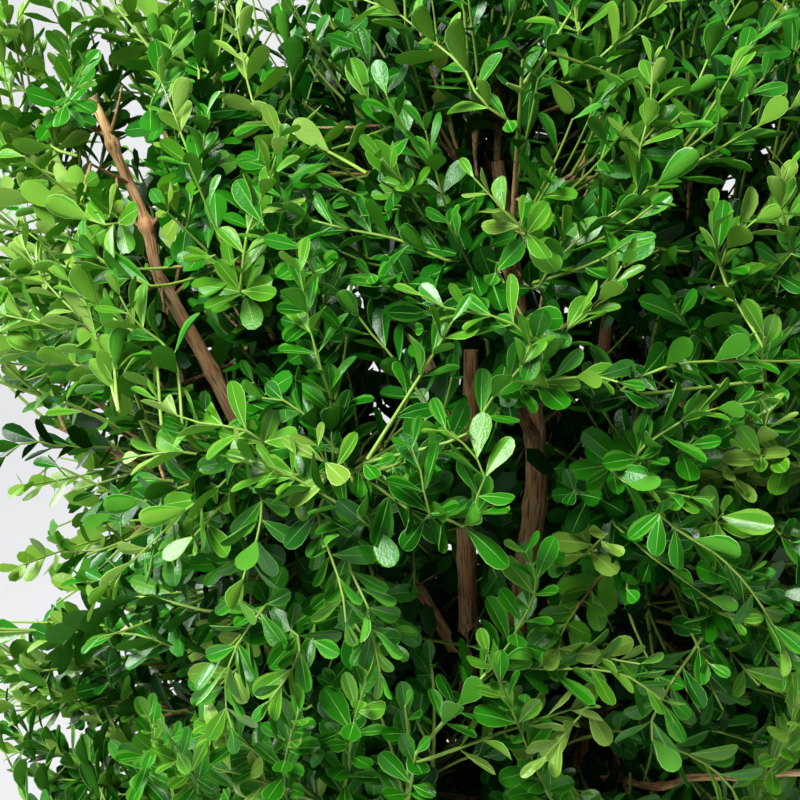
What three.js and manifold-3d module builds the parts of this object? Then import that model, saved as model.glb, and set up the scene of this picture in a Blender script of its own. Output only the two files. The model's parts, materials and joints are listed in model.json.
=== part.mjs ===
// A young box shrub grown as a loose ball, standing in a plain terracotta pot.
// Five woody stems rise from the compost. They carry boughs, and each bough or stem tip carries one mass
// of foliage: a stem of its own, side twigs in opposite pairs and leaves fused to them.
// Millimetres, +Z up. The origin is the middle of the pot's flat underside, and -Y is the front.
import * as THREE from "three";
import { mergeVertices } from "three/addons/utils/BufferGeometryUtils.js";
import Module from "manifold-3d";

const wasm = await Module();
wasm.setup();

// Pot and compost
const POT_HEIGHT = 245;
const POT_RIM_RADIUS = 165;
const POT_FOOT_RADIUS = 116;
const POT_WALL = 9;
const POT_FLOOR = 12;
const POT_SIDES = 36;
const BAND_HEIGHT = 38;
const BAND_PROUD = 7;
const BAND_SLOPE = 2;
const UNDER_BAND_SLOPE = 4;
const RIM_ROUND = 3;
const COMPOST_TOP = 222;
const COMPOST_FALL = 6;
const COMPOST_FLAT_RADIUS = 80;

// Pieces that meet keep this much air between them
const GAP = 0.3;

// The crown: a loose ball round CROWN_CENTRE that reaches CROWN_REACH
const CROWN_CENTRE = new THREE.Vector3(0, 0, 530);
const CROWN_REACH = 295;
const POLE_INSIDE = 4;
const POT_CLEARANCE = 5;
const UP = new THREE.Vector3(0, 0, 1);

// Each mass fills the space nearest to its own stem, out to LOBE_RADIUS from it
const LOBE_RADIUS = 132;
const SPACE_BETWEEN = 2.5;
const LIMB_CLEARANCE = 1.5;

// Masses stand in rings. Azimuths run anticlockwise from +X, and incline is how steeply a mass's stem climbs
const RINGS = [
  { ring: "top", count: 1, elevation: 86, azimuth: 20, incline: 88, stem: 165, lift: 0.02 },
  { ring: "upper", count: 5, elevation: 40, azimuth: 195, incline: 50, stem: 165, lift: 0.03 },
  { ring: "middle", count: 6, elevation: 3, azimuth: 180, incline: 24, stem: 162, lift: 0.035 },
  { ring: "lower", count: 5, elevation: -38, azimuth: 180, incline: 2, stem: 142, lift: 0.02 },
];
const RING_UNEVENNESS = 4;
const RING_SEED = 521;

// Hollows in the crown: the dent in its left side and the thin place at the top left, as ellipsoids
const HOLLOWS = [
  { at: new THREE.Vector3(-312, -30, 490), radii: new THREE.Vector3(112, 190, 60) },
  { at: new THREE.Vector3(-112, 0, 812), radii: new THREE.Vector3(62, 160, 108) },
];

// Woody stems, from a foot in the compost by way of a few bends to the mass at the tip
const STEMS = [
  { name: "centre_stem", foot: [4, -6], footDiameter: 19, tipDiameter: 7,
    bends: [[15, -9, 420], [22, -9, 495], [12, -6, 580]], carries: "top_foliage" },
  { name: "left_stem", foot: [-22, -8], footDiameter: 15, tipDiameter: 6.4,
    bends: [[-60, -24, 350], [-139, -43, 535]], carries: "upper_foliage_1" },
  { name: "right_stem", foot: [31, 4], footDiameter: 15, tipDiameter: 6,
    bends: [[50, 0, 350], [92, -20, 500]], carries: "upper_foliage_3" },
  { name: "rear_right_stem", foot: [16, 29], footDiameter: 14, tipDiameter: 6,
    bends: [[28, 48, 360], [56, 62, 500]], carries: "upper_foliage_4" },
  { name: "rear_left_stem", foot: [-16, 24], footDiameter: 15, tipDiameter: 6,
    bends: [[-12, 38, 400], [-22, 56, 510]], carries: "upper_foliage_5" },
];
const STEM_SIDES = 8;
const STEM_STEPS = 9;
const STEM_SEARCH_STEPS = 200;
const ROOT_FLARE = 0.55;
const ROOT_FLARE_HEIGHT = 22;
const STEM_SUNK = 6;

// The left stem is bare and in sight, so the place where its foliage begins is its own
const LEFT_STEM_TIP = new THREE.Vector3(-172, -50, 598);

// A bough leaves its stem BOUGH_CLIMB lower for each millimetre that it runs outwards. The lowest ones are
// staggered up their stems, and each meets its mass along the mass's own incline
const BOUGH_CLIMB = 0.62;
const BOUGH_LOWEST = 262;
const BOUGH_STAGGER = 3;
const BOUGH_BEND = 0.45;
const BOUGH_DIAMETER = { base: 7.5, tip: 4.6 };
const BOUGH_SIDES = 6;
const BOUGH_STEPS = 4;
const CLEARANCE_STEPS = 8;

// The growth rule: a mass's stem bears side twigs in opposite pairs, each pair turned a quarter from the last
const TWIG_PAIRS = 4;
const FIRST_PAIR_AT = 0.1;
const LAST_PAIR_AT = 0.8;
const PAIR_TURN = 90;
const PAIR_TURN_SPREAD = 14;
const TWIG_ANGLE = 68;
const TWIG_ANGLE_NEAR_TIP = 44;
const TWIG_ANGLE_SPREAD = 5;
const TWIG_STEP = 8;
const TWIG_LONGEST = 150;
const TWIG_LENGTHS = [0.86, 1];
const TWIG_SHORTEST = 20;
const LIGHT_FROM_ABOVE = 0.5;
const NEARLY_UPRIGHT = 0.05;
const TWIG_MARGIN = 3;
const TWIG_DIAMETER = { base: 3, tip: 1.8 };
const TWIG_TO_STEM = 0.6;
const TWIG_SIDES = 3;
const TWIG_STEPS = 3;
const MASS_STEM_DIAMETER = { base: 5, tip: 3 };
const MASS_STEM_SIDES = 4;
const MASS_STEM_STEPS = 4;
const MASS_STEM_BARE = 0.15;
const MASS_STEM_ENDS = 0.9;
const MASS_STEM_STEP = 0.1;
const MASS_SEED = 7919;

// Leaves: larger than life, so that a few hundred fill the crown
const LEAF_LENGTH = 58;
const LEAF_WIDTH = 0.56;
const LEAF_WIDEST_AT = 0.62;
const LEAF_THICKNESS = 0.03;
const LEAF_DISH = 0.05;
const LEAF_ANGLE = 48;
const LEAF_TURN_SPREAD = 20;
const LEAF_SPREAD = [0.88, 1.06];
const LEAF_SIZES = [1, 0.84, 0.7, 0.56];
const LEAF_PAIRS_AT = [0.46, 0.8];
const TIP_LEAF_AT = 0.98;
const TIP_LEAF_ANGLE = 8;
const LEAF_SPACING = 23;
const LEAF_MARGIN = 1;
const LEAF_FACES = [0, 1, 4, 1, 2, 4, 2, 3, 4, 3, 0, 4, 1, 0, 5, 2, 1, 5, 3, 2, 5, 0, 3, 5];

// Fusing: corners closer than WELD become one, and features under SMALLEST_DETAIL are smoothed away
const SMALLEST_DETAIL = 0.02;
const WELD = 1e-3;
const MOST_TRIES = 8;

// The random numbers: each is the last one times DRAW_FACTOR, divided by DRAW_PRIME, and the remainder kept
const DRAW_FACTOR = 48271;
const DRAW_PRIME = 2147483647;
const DRAWS_SKIPPED = 4;

const radians = THREE.MathUtils.degToRad;

// Numbers from 0 to 1 that are the same on every run
class Draws {
  constructor(seed) {
    this.state = seed;
    for (let i = 0; i < DRAWS_SKIPPED; i++) this.next();
  }

  next() {
    this.state = (this.state * DRAW_FACTOR) % DRAW_PRIME;
    return this.state / DRAW_PRIME;
  }

  between(low, high) {
    return low + (high - low) * this.next();
  }
}

// A closed geometry as a solid
function solidOf(geometry) {
  const bare = geometry.clone();
  bare.deleteAttribute("normal");
  bare.deleteAttribute("uv");
  const merged = mergeVertices(bare, WELD);
  return new wasm.Manifold(
    new wasm.Mesh({
      numProp: 3,
      vertProperties: merged.attributes.position.array,
      triVerts: new Uint32Array(merged.index.array),
    }),
  );
}

// The largest body of a solid: sealed hollows are filled and loose scraps are left out
function largestBody(solid) {
  const bodies = solid.decompose();
  return bodies.reduce((best, body) => (body.volume() > best.volume() ? body : best));
}

// A solid as a geometry
function geometryOf(solid) {
  const mesh = solid.getMesh();
  const geometry = new THREE.BufferGeometry();
  geometry.setAttribute("position", new THREE.BufferAttribute(mesh.vertProperties, mesh.numProp));
  geometry.setIndex(new THREE.BufferAttribute(mesh.triVerts, 1));
  geometry.computeVertexNormals();
  return geometry;
}

// Whether every edge of a solid is shared by exactly two faces, once close corners are welded
function everyEdgeMeetsTwoFaces(solid) {
  const { index } = mergeVertices(geometryOf(solid).deleteAttribute("normal"), WELD / 10);
  const uses = new Map();
  for (let i = 0; i < index.count; i++) {
    const a = index.getX(i);
    const b = index.getX(i % 3 === 2 ? i - 2 : i + 1);
    const edge = a < b ? `${a} ${b}` : `${b} ${a}`;
    uses.set(edge, (uses.get(edge) ?? 0) + 1);
  }
  return [...uses.values()].every((count) => count === 2);
}

// A round closed geometry about Z from [radius, height] points that start and end on the axis
function turned(profile) {
  const points = profile.map(([radius, height]) => new THREE.Vector2(radius, height));
  return new THREE.LatheGeometry(points, POT_SIDES).rotateX(Math.PI / 2);
}

// A tapering limb along a curve: rings of corners, closed by a flat cap at each end
function limbGeometry(curve, radiusAt, steps, sides) {
  const { normals, binormals } = curve.computeFrenetFrames(steps, false);
  const positions = [];
  const index = [];
  for (let step = 0; step <= steps; step++) {
    const centre = curve.getPointAt(step / steps);
    const radius = radiusAt(step / steps);
    for (let side = 0; side < sides; side++) {
      const angle = (side / sides) * 2 * Math.PI;
      const corner = centre
        .clone()
        .addScaledVector(normals[step], radius * Math.cos(angle))
        .addScaledVector(binormals[step], radius * Math.sin(angle));
      positions.push(...corner.toArray());
    }
  }
  for (let step = 0; step < steps; step++) {
    for (let side = 0; side < sides; side++) {
      const a = step * sides + side;
      const b = step * sides + ((side + 1) % sides);
      index.push(a, b, b + sides, a, b + sides, a + sides);
    }
  }
  for (let side = 1; side < sides - 1; side++) {
    const last = steps * sides;
    index.push(0, side + 1, side, last, last + side, last + side + 1);
  }
  const geometry = new THREE.BufferGeometry();
  geometry.setAttribute("position", new THREE.Float32BufferAttribute(positions, 3));
  geometry.setIndex(index);
  return geometry;
}

// A flat cut across solids that reach down to a level
function cutLevel(solid, level) {
  return solid.trimByPlane([0, 0, 1], level);
}

// The direction at an azimuth and elevation, in degrees
function direction(azimuth, elevation) {
  const a = radians(azimuth);
  const e = radians(elevation);
  return new THREE.Vector3(Math.cos(a) * Math.cos(e), Math.sin(a) * Math.cos(e), Math.sin(e));
}

// Every mass with its place: entry is where its stem begins, and pole is the furthest point it reaches
function layOutMasses() {
  const masses = [];
  const draws = new Draws(RING_SEED);
  const uneven = () => draws.between(-RING_UNEVENNESS, RING_UNEVENNESS);
  for (const { ring, count, elevation, azimuth, incline, stem, lift } of RINGS) {
    for (let i = 0; i < count; i++) {
      const turn = azimuth + (360 / count) * i + uneven();
      const outwards = direction(turn, elevation + uneven());
      const pole = CROWN_CENTRE.clone().addScaledVector(outwards, CROWN_REACH - POLE_INSIDE);
      const entry = pole.clone().addScaledVector(direction(turn, incline), -stem);
      const name = count === 1 ? `${ring}_foliage` : `${ring}_foliage_${i + 1}`;
      masses.push({ name, entry, pole, incline: direction(turn, incline), lift, order: masses.length });
    }
  }
  const left = masses.find((mass) => mass.name === "upper_foliage_1");
  left.entry.copy(LEFT_STEM_TIP);
  left.incline = left.pole.clone().sub(left.entry).normalize();
  for (const mass of masses) {
    const middle = mass.entry.clone().addScaledVector(mass.incline, mass.entry.distanceTo(mass.pole) * 0.5);
    mass.stem = new THREE.QuadraticBezierCurve3(mass.entry, middle, mass.pole);
    mass.axis = new THREE.Line3(mass.entry, mass.pole);
  }
  return masses;
}

// How far a point is from a line
function distanceTo(line, point) {
  return line.closestPointToPoint(point, true, new THREE.Vector3()).distanceTo(point);
}

// A limb's curve as short lines, each with the limb's thickness there
function limbLines(curve, radiusAt) {
  const points = curve.getSpacedPoints(CLEARANCE_STEPS);
  return points.slice(1).map((point, step) => {
    return { line: new THREE.Line3(points[step], point), radius: radiusAt(step / CLEARANCE_STEPS) };
  });
}

// A stem's radius along it: an even taper, and a flare where it leaves the ground
function stemRadius({ footDiameter, tipDiameter }, length) {
  return (share) => {
    const flare = 1 + ROOT_FLARE * Math.exp((-share * length) / ROOT_FLARE_HEIGHT);
    return (THREE.MathUtils.lerp(footDiameter, tipDiameter, share) / 2) * flare;
  };
}

// The stems, each from the compost to the entry of the mass at its tip
function growStems(masses) {
  return STEMS.map((spec) => {
    const mass = masses.find(({ name }) => name === spec.carries);
    const foot = new THREE.Vector3(...spec.foot, COMPOST_TOP - STEM_SUNK);
    const bends = spec.bends.map((bend) => new THREE.Vector3(...bend));
    const curve = new THREE.CatmullRomCurve3([foot, ...bends, mass.entry], false, "centripetal");
    const radiusAt = stemRadius(spec, curve.getLength());
    mass.parent = spec.name;
    return { name: spec.name, curve, radiusAt, steps: STEM_STEPS, sides: STEM_SIDES, carries: mass };
  });
}

// The point of a stem nearest to a height
function stemPointAt(stem, height) {
  return stem.curve
    .getSpacedPoints(STEM_SEARCH_STEPS)
    .reduce((best, point) => (Math.abs(point.z - height) < Math.abs(best.z - height) ? point : best));
}

// A bough from the nearest stem to each mass that no stem carries
function growBoughs(masses, stems) {
  const boughs = [];
  for (const mass of masses.filter(({ parent }) => !parent)) {
    const entry = mass.entry;
    const from = stems
      .map((stem) => {
        const run = Math.hypot(entry.x, entry.y);
        const height = Math.max(BOUGH_LOWEST + BOUGH_STAGGER * mass.order, entry.z - run * BOUGH_CLIMB);
        return { stem, point: stemPointAt(stem, height) };
      })
      .reduce((best, one) =>
        one.point.distanceTo(entry) < best.point.distanceTo(entry) ? one : best,
      );
    const bend = entry.clone().addScaledVector(mass.incline, -BOUGH_BEND * from.point.distanceTo(entry));
    const curve = new THREE.QuadraticBezierCurve3(from.point, bend, entry);
    const { base, tip: end } = BOUGH_DIAMETER;
    const radiusAt = (share) => THREE.MathUtils.lerp(base, end, share) / 2;
    mass.parent = from.stem.name;
    const name = mass.name.replace("foliage", "bough");
    const facets = { steps: BOUGH_STEPS, sides: BOUGH_SIDES };
    boughs.push({ name, curve, radiusAt, ...facets, from: from.stem, carries: mass });
  }
  return boughs;
}

// A limb's solid, fattened all round by extra and cut square just short of the mass it carries
function limbSolid(limb, extra = 0) {
  const { entry, incline } = limb.carries;
  const radiusAt = (share) => limb.radiusAt(share) + extra;
  const whole = solidOf(limbGeometry(limb.curve, radiusAt, limb.steps, limb.sides));
  const backwards = incline.clone().negate();
  return whole.trimByPlane(backwards.toArray(), entry.dot(backwards) + GAP);
}

// Whether a point lies in a mass's own space, with a margin to spare
function inSpace(mass, point, margin, masses, limbs) {
  if (point.distanceTo(CROWN_CENTRE) > CROWN_REACH - margin) return false;
  const own = distanceTo(mass.axis, point);
  if (own > LOBE_RADIUS - margin) return false;
  if (masses.some((other) => other !== mass && distanceTo(other.axis, point) - own < SPACE_BETWEEN + margin))
    return false;
  for (const { at, radii } of HOLLOWS) {
    if (point.clone().sub(at).divide(radii).length() < 1) return false;
  }
  const overPot = Math.hypot(point.x, point.y) < POT_RIM_RADIUS + POT_CLEARANCE + margin;
  if (overPot && point.z < POT_HEIGHT + POT_CLEARANCE + margin) return false;
  return limbs.every(({ line, radius }) => distanceTo(line, point) > radius + LIMB_CLEARANCE + margin);
}

// A direction that opens from a heading by one angle, turned about the heading by another
function leaning(heading, turn, open) {
  const side = new THREE.Vector3().crossVectors(heading, UP);
  if (side.length() < NEARLY_UPRIGHT) side.set(1, 0, 0);
  side.normalize();
  const rise = new THREE.Vector3().crossVectors(side, heading).normalize();
  return heading
    .clone()
    .multiplyScalar(Math.cos(open))
    .addScaledVector(side, Math.sin(open) * Math.cos(turn))
    .addScaledVector(rise, Math.sin(open) * Math.sin(turn))
    .normalize();
}

// A twig's points, laid step by step towards the light until its space or its length ends
function layTwig(start, heading, longest, lift, allowed) {
  const points = [start.clone()];
  const way = heading.clone().normalize();
  for (let run = 0; run < longest; run += TWIG_STEP) {
    const outwards = points.at(-1).clone().sub(CROWN_CENTRE).normalize();
    const light = outwards.addScaledVector(UP, LIGHT_FROM_ABOVE);
    way.addScaledVector(light, lift).normalize();
    const next = points.at(-1).clone().addScaledVector(way, TWIG_STEP);
    if (!allowed(next)) break;
    points.push(next);
  }
  return points;
}

// The side twigs of a mass, in opposite pairs along its stem
function growTwigs(mass, allowed) {
  const draws = new Draws(MASS_SEED * (mass.order + 1));
  const twigs = [];
  const firstTurn = draws.between(0, 90);
  for (let pair = 0; pair < TWIG_PAIRS; pair++) {
    const share = THREE.MathUtils.lerp(FIRST_PAIR_AT, LAST_PAIR_AT, pair / (TWIG_PAIRS - 1));
    const start = mass.stem.getPointAt(share);
    const heading = mass.stem.getTangentAt(share);
    for (const half of [0, 180]) {
      const spread = draws.between(-PAIR_TURN_SPREAD, PAIR_TURN_SPREAD);
      const turn = radians(firstTurn + PAIR_TURN * pair + half + spread);
      const widest = THREE.MathUtils.lerp(TWIG_ANGLE, TWIG_ANGLE_NEAR_TIP, share);
      const open = radians(widest + draws.between(-TWIG_ANGLE_SPREAD, TWIG_ANGLE_SPREAD));
      const way = leaning(heading, turn, open);
      const longest = TWIG_LONGEST * draws.between(...TWIG_LENGTHS);
      const points = layTwig(start, way, longest, mass.lift, allowed);
      if ((points.length - 1) * TWIG_STEP >= TWIG_SHORTEST) twigs.push({ points, share });
    }
  }
  return twigs;
}

// The eight-faced solid of one leaf: a kite-shaped outline, domed above and below
function leafSolid({ root, way, side, face, length }) {
  const half = (length * LEAF_WIDTH) / 2;
  const thick = length * LEAF_THICKNESS;
  const at = (along, out, up) =>
    root
      .clone()
      .addScaledVector(way, length * along)
      .addScaledVector(side, out)
      .addScaledVector(face, up);
  const dish = length * LEAF_DISH;
  const corners = [
    at(0, 0, 0),
    at(LEAF_WIDEST_AT, half, dish),
    at(1, 0, 0),
    at(LEAF_WIDEST_AT, -half, dish),
    at(LEAF_WIDEST_AT, 0, thick / 2),
    at(LEAF_WIDEST_AT, 0, -thick / 2),
  ];
  return new wasm.Manifold(
    new wasm.Mesh({
      numProp: 3,
      vertProperties: new Float32Array(corners.flatMap((corner) => corner.toArray())),
      triVerts: new Uint32Array(LEAF_FACES),
    }),
  );
}

// A leaf's place at a point of a twig: it leans out sideways from the twig and faces the light
function leafPlace(point, heading, turn, open, length) {
  const way = leaning(heading, turn, open);
  const light = point.clone().sub(CROWN_CENTRE).normalize().add(UP);
  const width = new THREE.Vector3().crossVectors(way, light).normalize();
  const face = new THREE.Vector3().crossVectors(width, way).normalize();
  return { root: point.clone(), way, side: width, face, length };
}

// Whether a leaf's outline keeps to the mass's space
function leafFits({ root, way, side, length }, allowed) {
  const half = (length * LEAF_WIDTH) / 2;
  const middle = root.clone().addScaledVector(way, length * LEAF_WIDEST_AT);
  return [
    root.clone().addScaledVector(way, length),
    middle,
    middle.clone().addScaledVector(side, half),
    middle.clone().addScaledVector(side, -half),
    root.clone().lerp(middle, 0.5),
  ].every(allowed);
}

// The leaves of one twig: opposite pairs, each turned a quarter from the last, and one at the tip
function growLeaves(points, draws, allowed, taken) {
  const curve = new THREE.CatmullRomCurve3(points);
  const leaves = [];
  const place = (share, turn, open) => {
    const point = curve.getPointAt(share);
    const heading = curve.getTangentAt(share);
    const size = LEAF_LENGTH * draws.between(...LEAF_SPREAD);
    for (const part of LEAF_SIZES) {
      const leaf = leafPlace(point, heading, turn, open, size * part);
      const middle = leaf.root.clone().addScaledVector(leaf.way, leaf.length * LEAF_WIDEST_AT);
      if (taken.some((other) => other.distanceTo(middle) < LEAF_SPACING)) continue;
      if (!leafFits(leaf, allowed)) continue;
      taken.push(middle);
      leaves.push(leaf);
      return;
    }
  };
  LEAF_PAIRS_AT.forEach((share, pair) => {
    for (const half of [0, 180]) {
      const spread = draws.between(-LEAF_TURN_SPREAD, LEAF_TURN_SPREAD);
      place(share, radians(PAIR_TURN * pair + half + spread), radians(LEAF_ANGLE));
    }
  });
  place(TIP_LEAF_AT, draws.between(0, 2 * Math.PI), radians(TIP_LEAF_ANGLE));
  return leaves;
}

// A mass's stem, from its entry to the last point that its space allows
function massStemPoints(mass, allowed) {
  const points = [];
  for (let share = 0; share <= MASS_STEM_ENDS; share += MASS_STEM_STEP) {
    const point = mass.stem.getPointAt(share);
    if (share > MASS_STEM_BARE && !allowed(point)) break;
    points.push(point);
  }
  return points;
}

// One mass of foliage as one solid. Leaves that fuse into an unsound surface are dealt out again
function growMass(mass, masses, limbs) {
  const allowedTwig = (point) => inSpace(mass, point, TWIG_MARGIN, masses, limbs);
  const allowedLeaf = (point) => inSpace(mass, point, LEAF_MARGIN, masses, limbs);
  const taper = ({ base, tip }) => (share) => THREE.MathUtils.lerp(base, tip, share) / 2;
  const stemPoints = massStemPoints(mass, allowedTwig);
  const stemCurve = new THREE.CatmullRomCurve3(stemPoints);
  const twigs = growTwigs(mass, allowedTwig);
  const stem = limbGeometry(stemCurve, taper(MASS_STEM_DIAMETER), MASS_STEM_STEPS, MASS_STEM_SIDES);
  const wood = [solidOf(stem)];
  for (const { points, share } of twigs) {
    const stemDiameter = THREE.MathUtils.lerp(MASS_STEM_DIAMETER.base, MASS_STEM_DIAMETER.tip, share);
    const base = Math.min(TWIG_DIAMETER.base, TWIG_TO_STEM * stemDiameter);
    const curve = new THREE.CatmullRomCurve3(points);
    wood.push(solidOf(limbGeometry(curve, taper({ ...TWIG_DIAMETER, base }), TWIG_STEPS, TWIG_SIDES)));
  }
  for (let attempt = 1; attempt <= MOST_TRIES; attempt++) {
    const draws = new Draws(MASS_SEED * (mass.order + 1) + attempt);
    const taken = [];
    const leaves = [stemPoints, ...twigs.map(({ points }) => points)]
      .flatMap((points) => growLeaves(points, draws, allowedLeaf, taken))
      .map(leafSolid);
    const fused = wasm.Manifold.union([...wood, ...leaves]).simplify(SMALLEST_DETAIL);
    const body = largestBody(solidOf(geometryOf(fused)));
    if (everyEdgeMeetsTwoFaces(body)) return body;
  }
  throw new Error(`${mass.name} has no sound surface`);
}

// The pot: a tapering body, a thick band under the rim, and a flat underside
function potGeometry() {
  const bandFoot = POT_HEIGHT - BAND_HEIGHT;
  const bodyTop = POT_RIM_RADIUS - BAND_PROUD;
  return turned([
    [0, 0],
    [POT_FOOT_RADIUS, 0],
    [bodyTop - UNDER_BAND_SLOPE, bandFoot],
    [POT_RIM_RADIUS - BAND_SLOPE, bandFoot],
    [POT_RIM_RADIUS, POT_HEIGHT - RIM_ROUND],
    [POT_RIM_RADIUS - RIM_ROUND, POT_HEIGHT],
    [bodyTop - POT_WALL, POT_HEIGHT],
    [POT_FOOT_RADIUS - POT_WALL, POT_FLOOR],
    [0, POT_FLOOR],
  ]);
}

// The compost: it fills the pot to COMPOST_TOP and falls a little towards the wall
function compostGeometry() {
  const wallFoot = POT_FOOT_RADIUS - POT_WALL;
  const wallTop = POT_RIM_RADIUS - BAND_PROUD - POT_WALL;
  const edgeTop = COMPOST_TOP - COMPOST_FALL;
  const wallAt = (height) =>
    THREE.MathUtils.mapLinear(height, POT_FLOOR, POT_HEIGHT, wallFoot, wallTop) - 2 * GAP;
  return turned([
    [0, POT_FLOOR + GAP],
    [wallAt(POT_FLOOR), POT_FLOOR + GAP],
    [wallAt(edgeTop), edgeTop],
    [COMPOST_FLAT_RADIUS, COMPOST_TOP],
    [0, COMPOST_TOP],
  ]);
}

const BARK = new THREE.MeshStandardMaterial({ color: "#9c7650", roughness: 0.85 });
const FOLIAGE = new THREE.MeshStandardMaterial({ color: "#2f7d1e", roughness: 0.42 });
const TERRACOTTA = new THREE.MeshStandardMaterial({ color: "#b5673f", roughness: 0.9 });
const COMPOST = new THREE.MeshStandardMaterial({ color: "#33261c", roughness: 1 });

const plant = new THREE.Group();
plant.name = "potted_box_ball";

function addPiece(name, geometry, material) {
  const mesh = new THREE.Mesh(geometry, material);
  mesh.name = name;
  plant.add(mesh);
}

const masses = layOutMasses();
const stems = growStems(masses);
const boughs = growBoughs(masses, stems);
const limbs = [...stems, ...boughs].flatMap(({ curve, radiusAt }) => limbLines(curve, radiusAt));

addPiece("pot", potGeometry(), TERRACOTTA);
addPiece("compost", compostGeometry(), COMPOST);
for (const stem of stems) {
  addPiece(stem.name, geometryOf(cutLevel(limbSolid(stem), COMPOST_TOP + GAP)), BARK);
}
for (const bough of boughs) {
  const clear = limbSolid(bough).subtract(limbSolid(bough.from, GAP));
  addPiece(bough.name, geometryOf(largestBody(clear)), BARK);
}
for (const mass of masses) {
  addPiece(mass.name, geometryOf(growMass(mass, masses, limbs)), FOLIAGE);
}

export default plant;
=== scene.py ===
"""A box shrub grown as a loose ball in a terracotta pot, and the pale studio in which it stands.

The wood and the places of the foliage follow the growth rule of the solids, written again here and carried on to
finer shoots and to leaves of life size. Growth is worked out in millimetres and meshes are made in metres, +Z up,
with the origin in the middle of the pot's flat underside and -Y at the front.
"""

import json
import logging
import math
from dataclasses import dataclass, field
from enum import IntEnum

import bpy
import numpy as np
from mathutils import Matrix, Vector, noise

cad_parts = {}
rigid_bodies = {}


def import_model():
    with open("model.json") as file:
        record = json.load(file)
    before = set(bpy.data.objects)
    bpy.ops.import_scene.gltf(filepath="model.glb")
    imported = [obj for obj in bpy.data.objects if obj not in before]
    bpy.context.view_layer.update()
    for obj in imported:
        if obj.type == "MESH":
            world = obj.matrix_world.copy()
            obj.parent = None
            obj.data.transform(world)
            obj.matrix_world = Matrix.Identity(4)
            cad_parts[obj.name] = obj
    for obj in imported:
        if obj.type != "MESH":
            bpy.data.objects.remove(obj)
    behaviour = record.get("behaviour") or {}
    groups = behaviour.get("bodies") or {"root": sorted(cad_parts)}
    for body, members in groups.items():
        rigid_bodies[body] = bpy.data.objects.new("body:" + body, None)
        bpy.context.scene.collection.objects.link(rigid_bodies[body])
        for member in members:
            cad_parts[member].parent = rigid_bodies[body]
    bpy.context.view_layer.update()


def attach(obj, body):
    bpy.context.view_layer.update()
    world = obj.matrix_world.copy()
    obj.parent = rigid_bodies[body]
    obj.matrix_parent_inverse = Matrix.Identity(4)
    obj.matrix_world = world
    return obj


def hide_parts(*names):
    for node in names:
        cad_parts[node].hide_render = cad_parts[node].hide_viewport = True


LOG = logging.getLogger("box_ball")

MM = 0.001
UP = np.array((0.0, 0.0, 1.0))


def linear(colour: str) -> tuple[float, float, float, float]:
    """Turns an sRGB colour to linear light.

    Args:
        colour: the colour as #rrggbb.

    Returns:
        Red, green, blue and an alpha of 1.
    """
    parts = [int(colour[i : i + 2], 16) / 255 for i in (1, 3, 5)]
    red, green, blue = (p / 12.92 if p <= 0.04045 else ((p + 0.055) / 1.055) ** 2.4 for p in parts)
    return red, green, blue, 1.0


def add_node(tree: bpy.types.NodeTree, kind: str, inputs: dict | None = None, **settings: object) -> bpy.types.Node:
    """Adds a node to a tree, with its settings and links.

    Args:
        tree: the tree that gets the node.
        kind: Blender's name for the node.
        inputs: for a socket's name or number, its value, the output that is linked to it, or a node whose first
            output is.
        settings: values of the node's own properties.

    Returns:
        The new node.
    """
    node = tree.nodes.new(kind)
    for name, value in settings.items():
        setattr(node, name, value)
    for key, value in (inputs or {}).items():
        if isinstance(value, bpy.types.Node):
            value = value.outputs[0]
        if isinstance(value, bpy.types.NodeSocket):
            tree.links.new(value, node.inputs[key])
        else:
            node.inputs[key].default_value = value
    return node


def unit(vectors: np.ndarray) -> np.ndarray:
    """Vectors of the same directions and of length 1."""
    return vectors / np.maximum(np.linalg.norm(vectors, axis=-1, keepdims=True), 1e-9)


def across(vectors: np.ndarray, axes: np.ndarray) -> np.ndarray:
    """The parts of vectors that lie square to unit axes."""
    return vectors - (vectors * axes).sum(-1, keepdims=True) * axes


def direction(azimuth: float, elevation: float) -> np.ndarray:
    """The unit vector at an azimuth and an elevation, in degrees."""
    a, e = math.radians(azimuth), math.radians(elevation)
    return np.array((math.cos(a) * math.cos(e), math.sin(a) * math.cos(e), math.sin(e)))


def line_distances(points: np.ndarray, starts: np.ndarray, ends: np.ndarray) -> np.ndarray:
    """Measures how far points are from straight lines.

    Args:
        points: n points.
        starts: the first ends of m lines.
        ends: their other ends.

    Returns:
        The distances, n by m.
    """
    span = ends - starts
    shares = ((points[:, None] - starts) * span).sum(-1) / (span**2).sum(-1)
    nearest = starts + np.clip(shares, 0, 1)[..., None] * span
    return np.linalg.norm(points[:, None] - nearest, axis=-1)


def leaning(headings: np.ndarray, turns: np.ndarray, opens: np.ndarray) -> np.ndarray:
    """Opens directions away from headings.

    Args:
        headings: n unit vectors.
        turns: by how much each new direction is turned about its heading, in radians.
        opens: by how much it leans away from its heading, in radians.

    Returns:
        The n new unit vectors.
    """
    side = np.cross(headings, UP)
    upright = np.linalg.norm(side, axis=-1) < 0.05
    side[upright] = (1.0, 0.0, 0.0)
    side = unit(side)
    rise = unit(np.cross(side, headings))
    turns, opens = np.asarray(turns)[:, None], np.asarray(opens)[:, None]
    return unit(headings * np.cos(opens) + side * np.sin(opens) * np.cos(turns) + rise * np.sin(opens) * np.sin(turns))


class Draws:
    """Numbers from 0 to 1 that are the same on every run, by the rule of the solids."""

    FACTOR = 48271
    PRIME = 2147483647
    SKIPPED = 4

    def __init__(self, seed: int) -> None:
        """Starts from a seed."""
        self.state = seed
        for _ in range(self.SKIPPED):
            self.next()

    def next(self) -> float:
        """The next number."""
        self.state = self.state * self.FACTOR % self.PRIME
        return self.state / self.PRIME

    def between(self, low: float, high: float) -> float:
        """The next number, from low to high."""
        return low + (high - low) * self.next()


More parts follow.
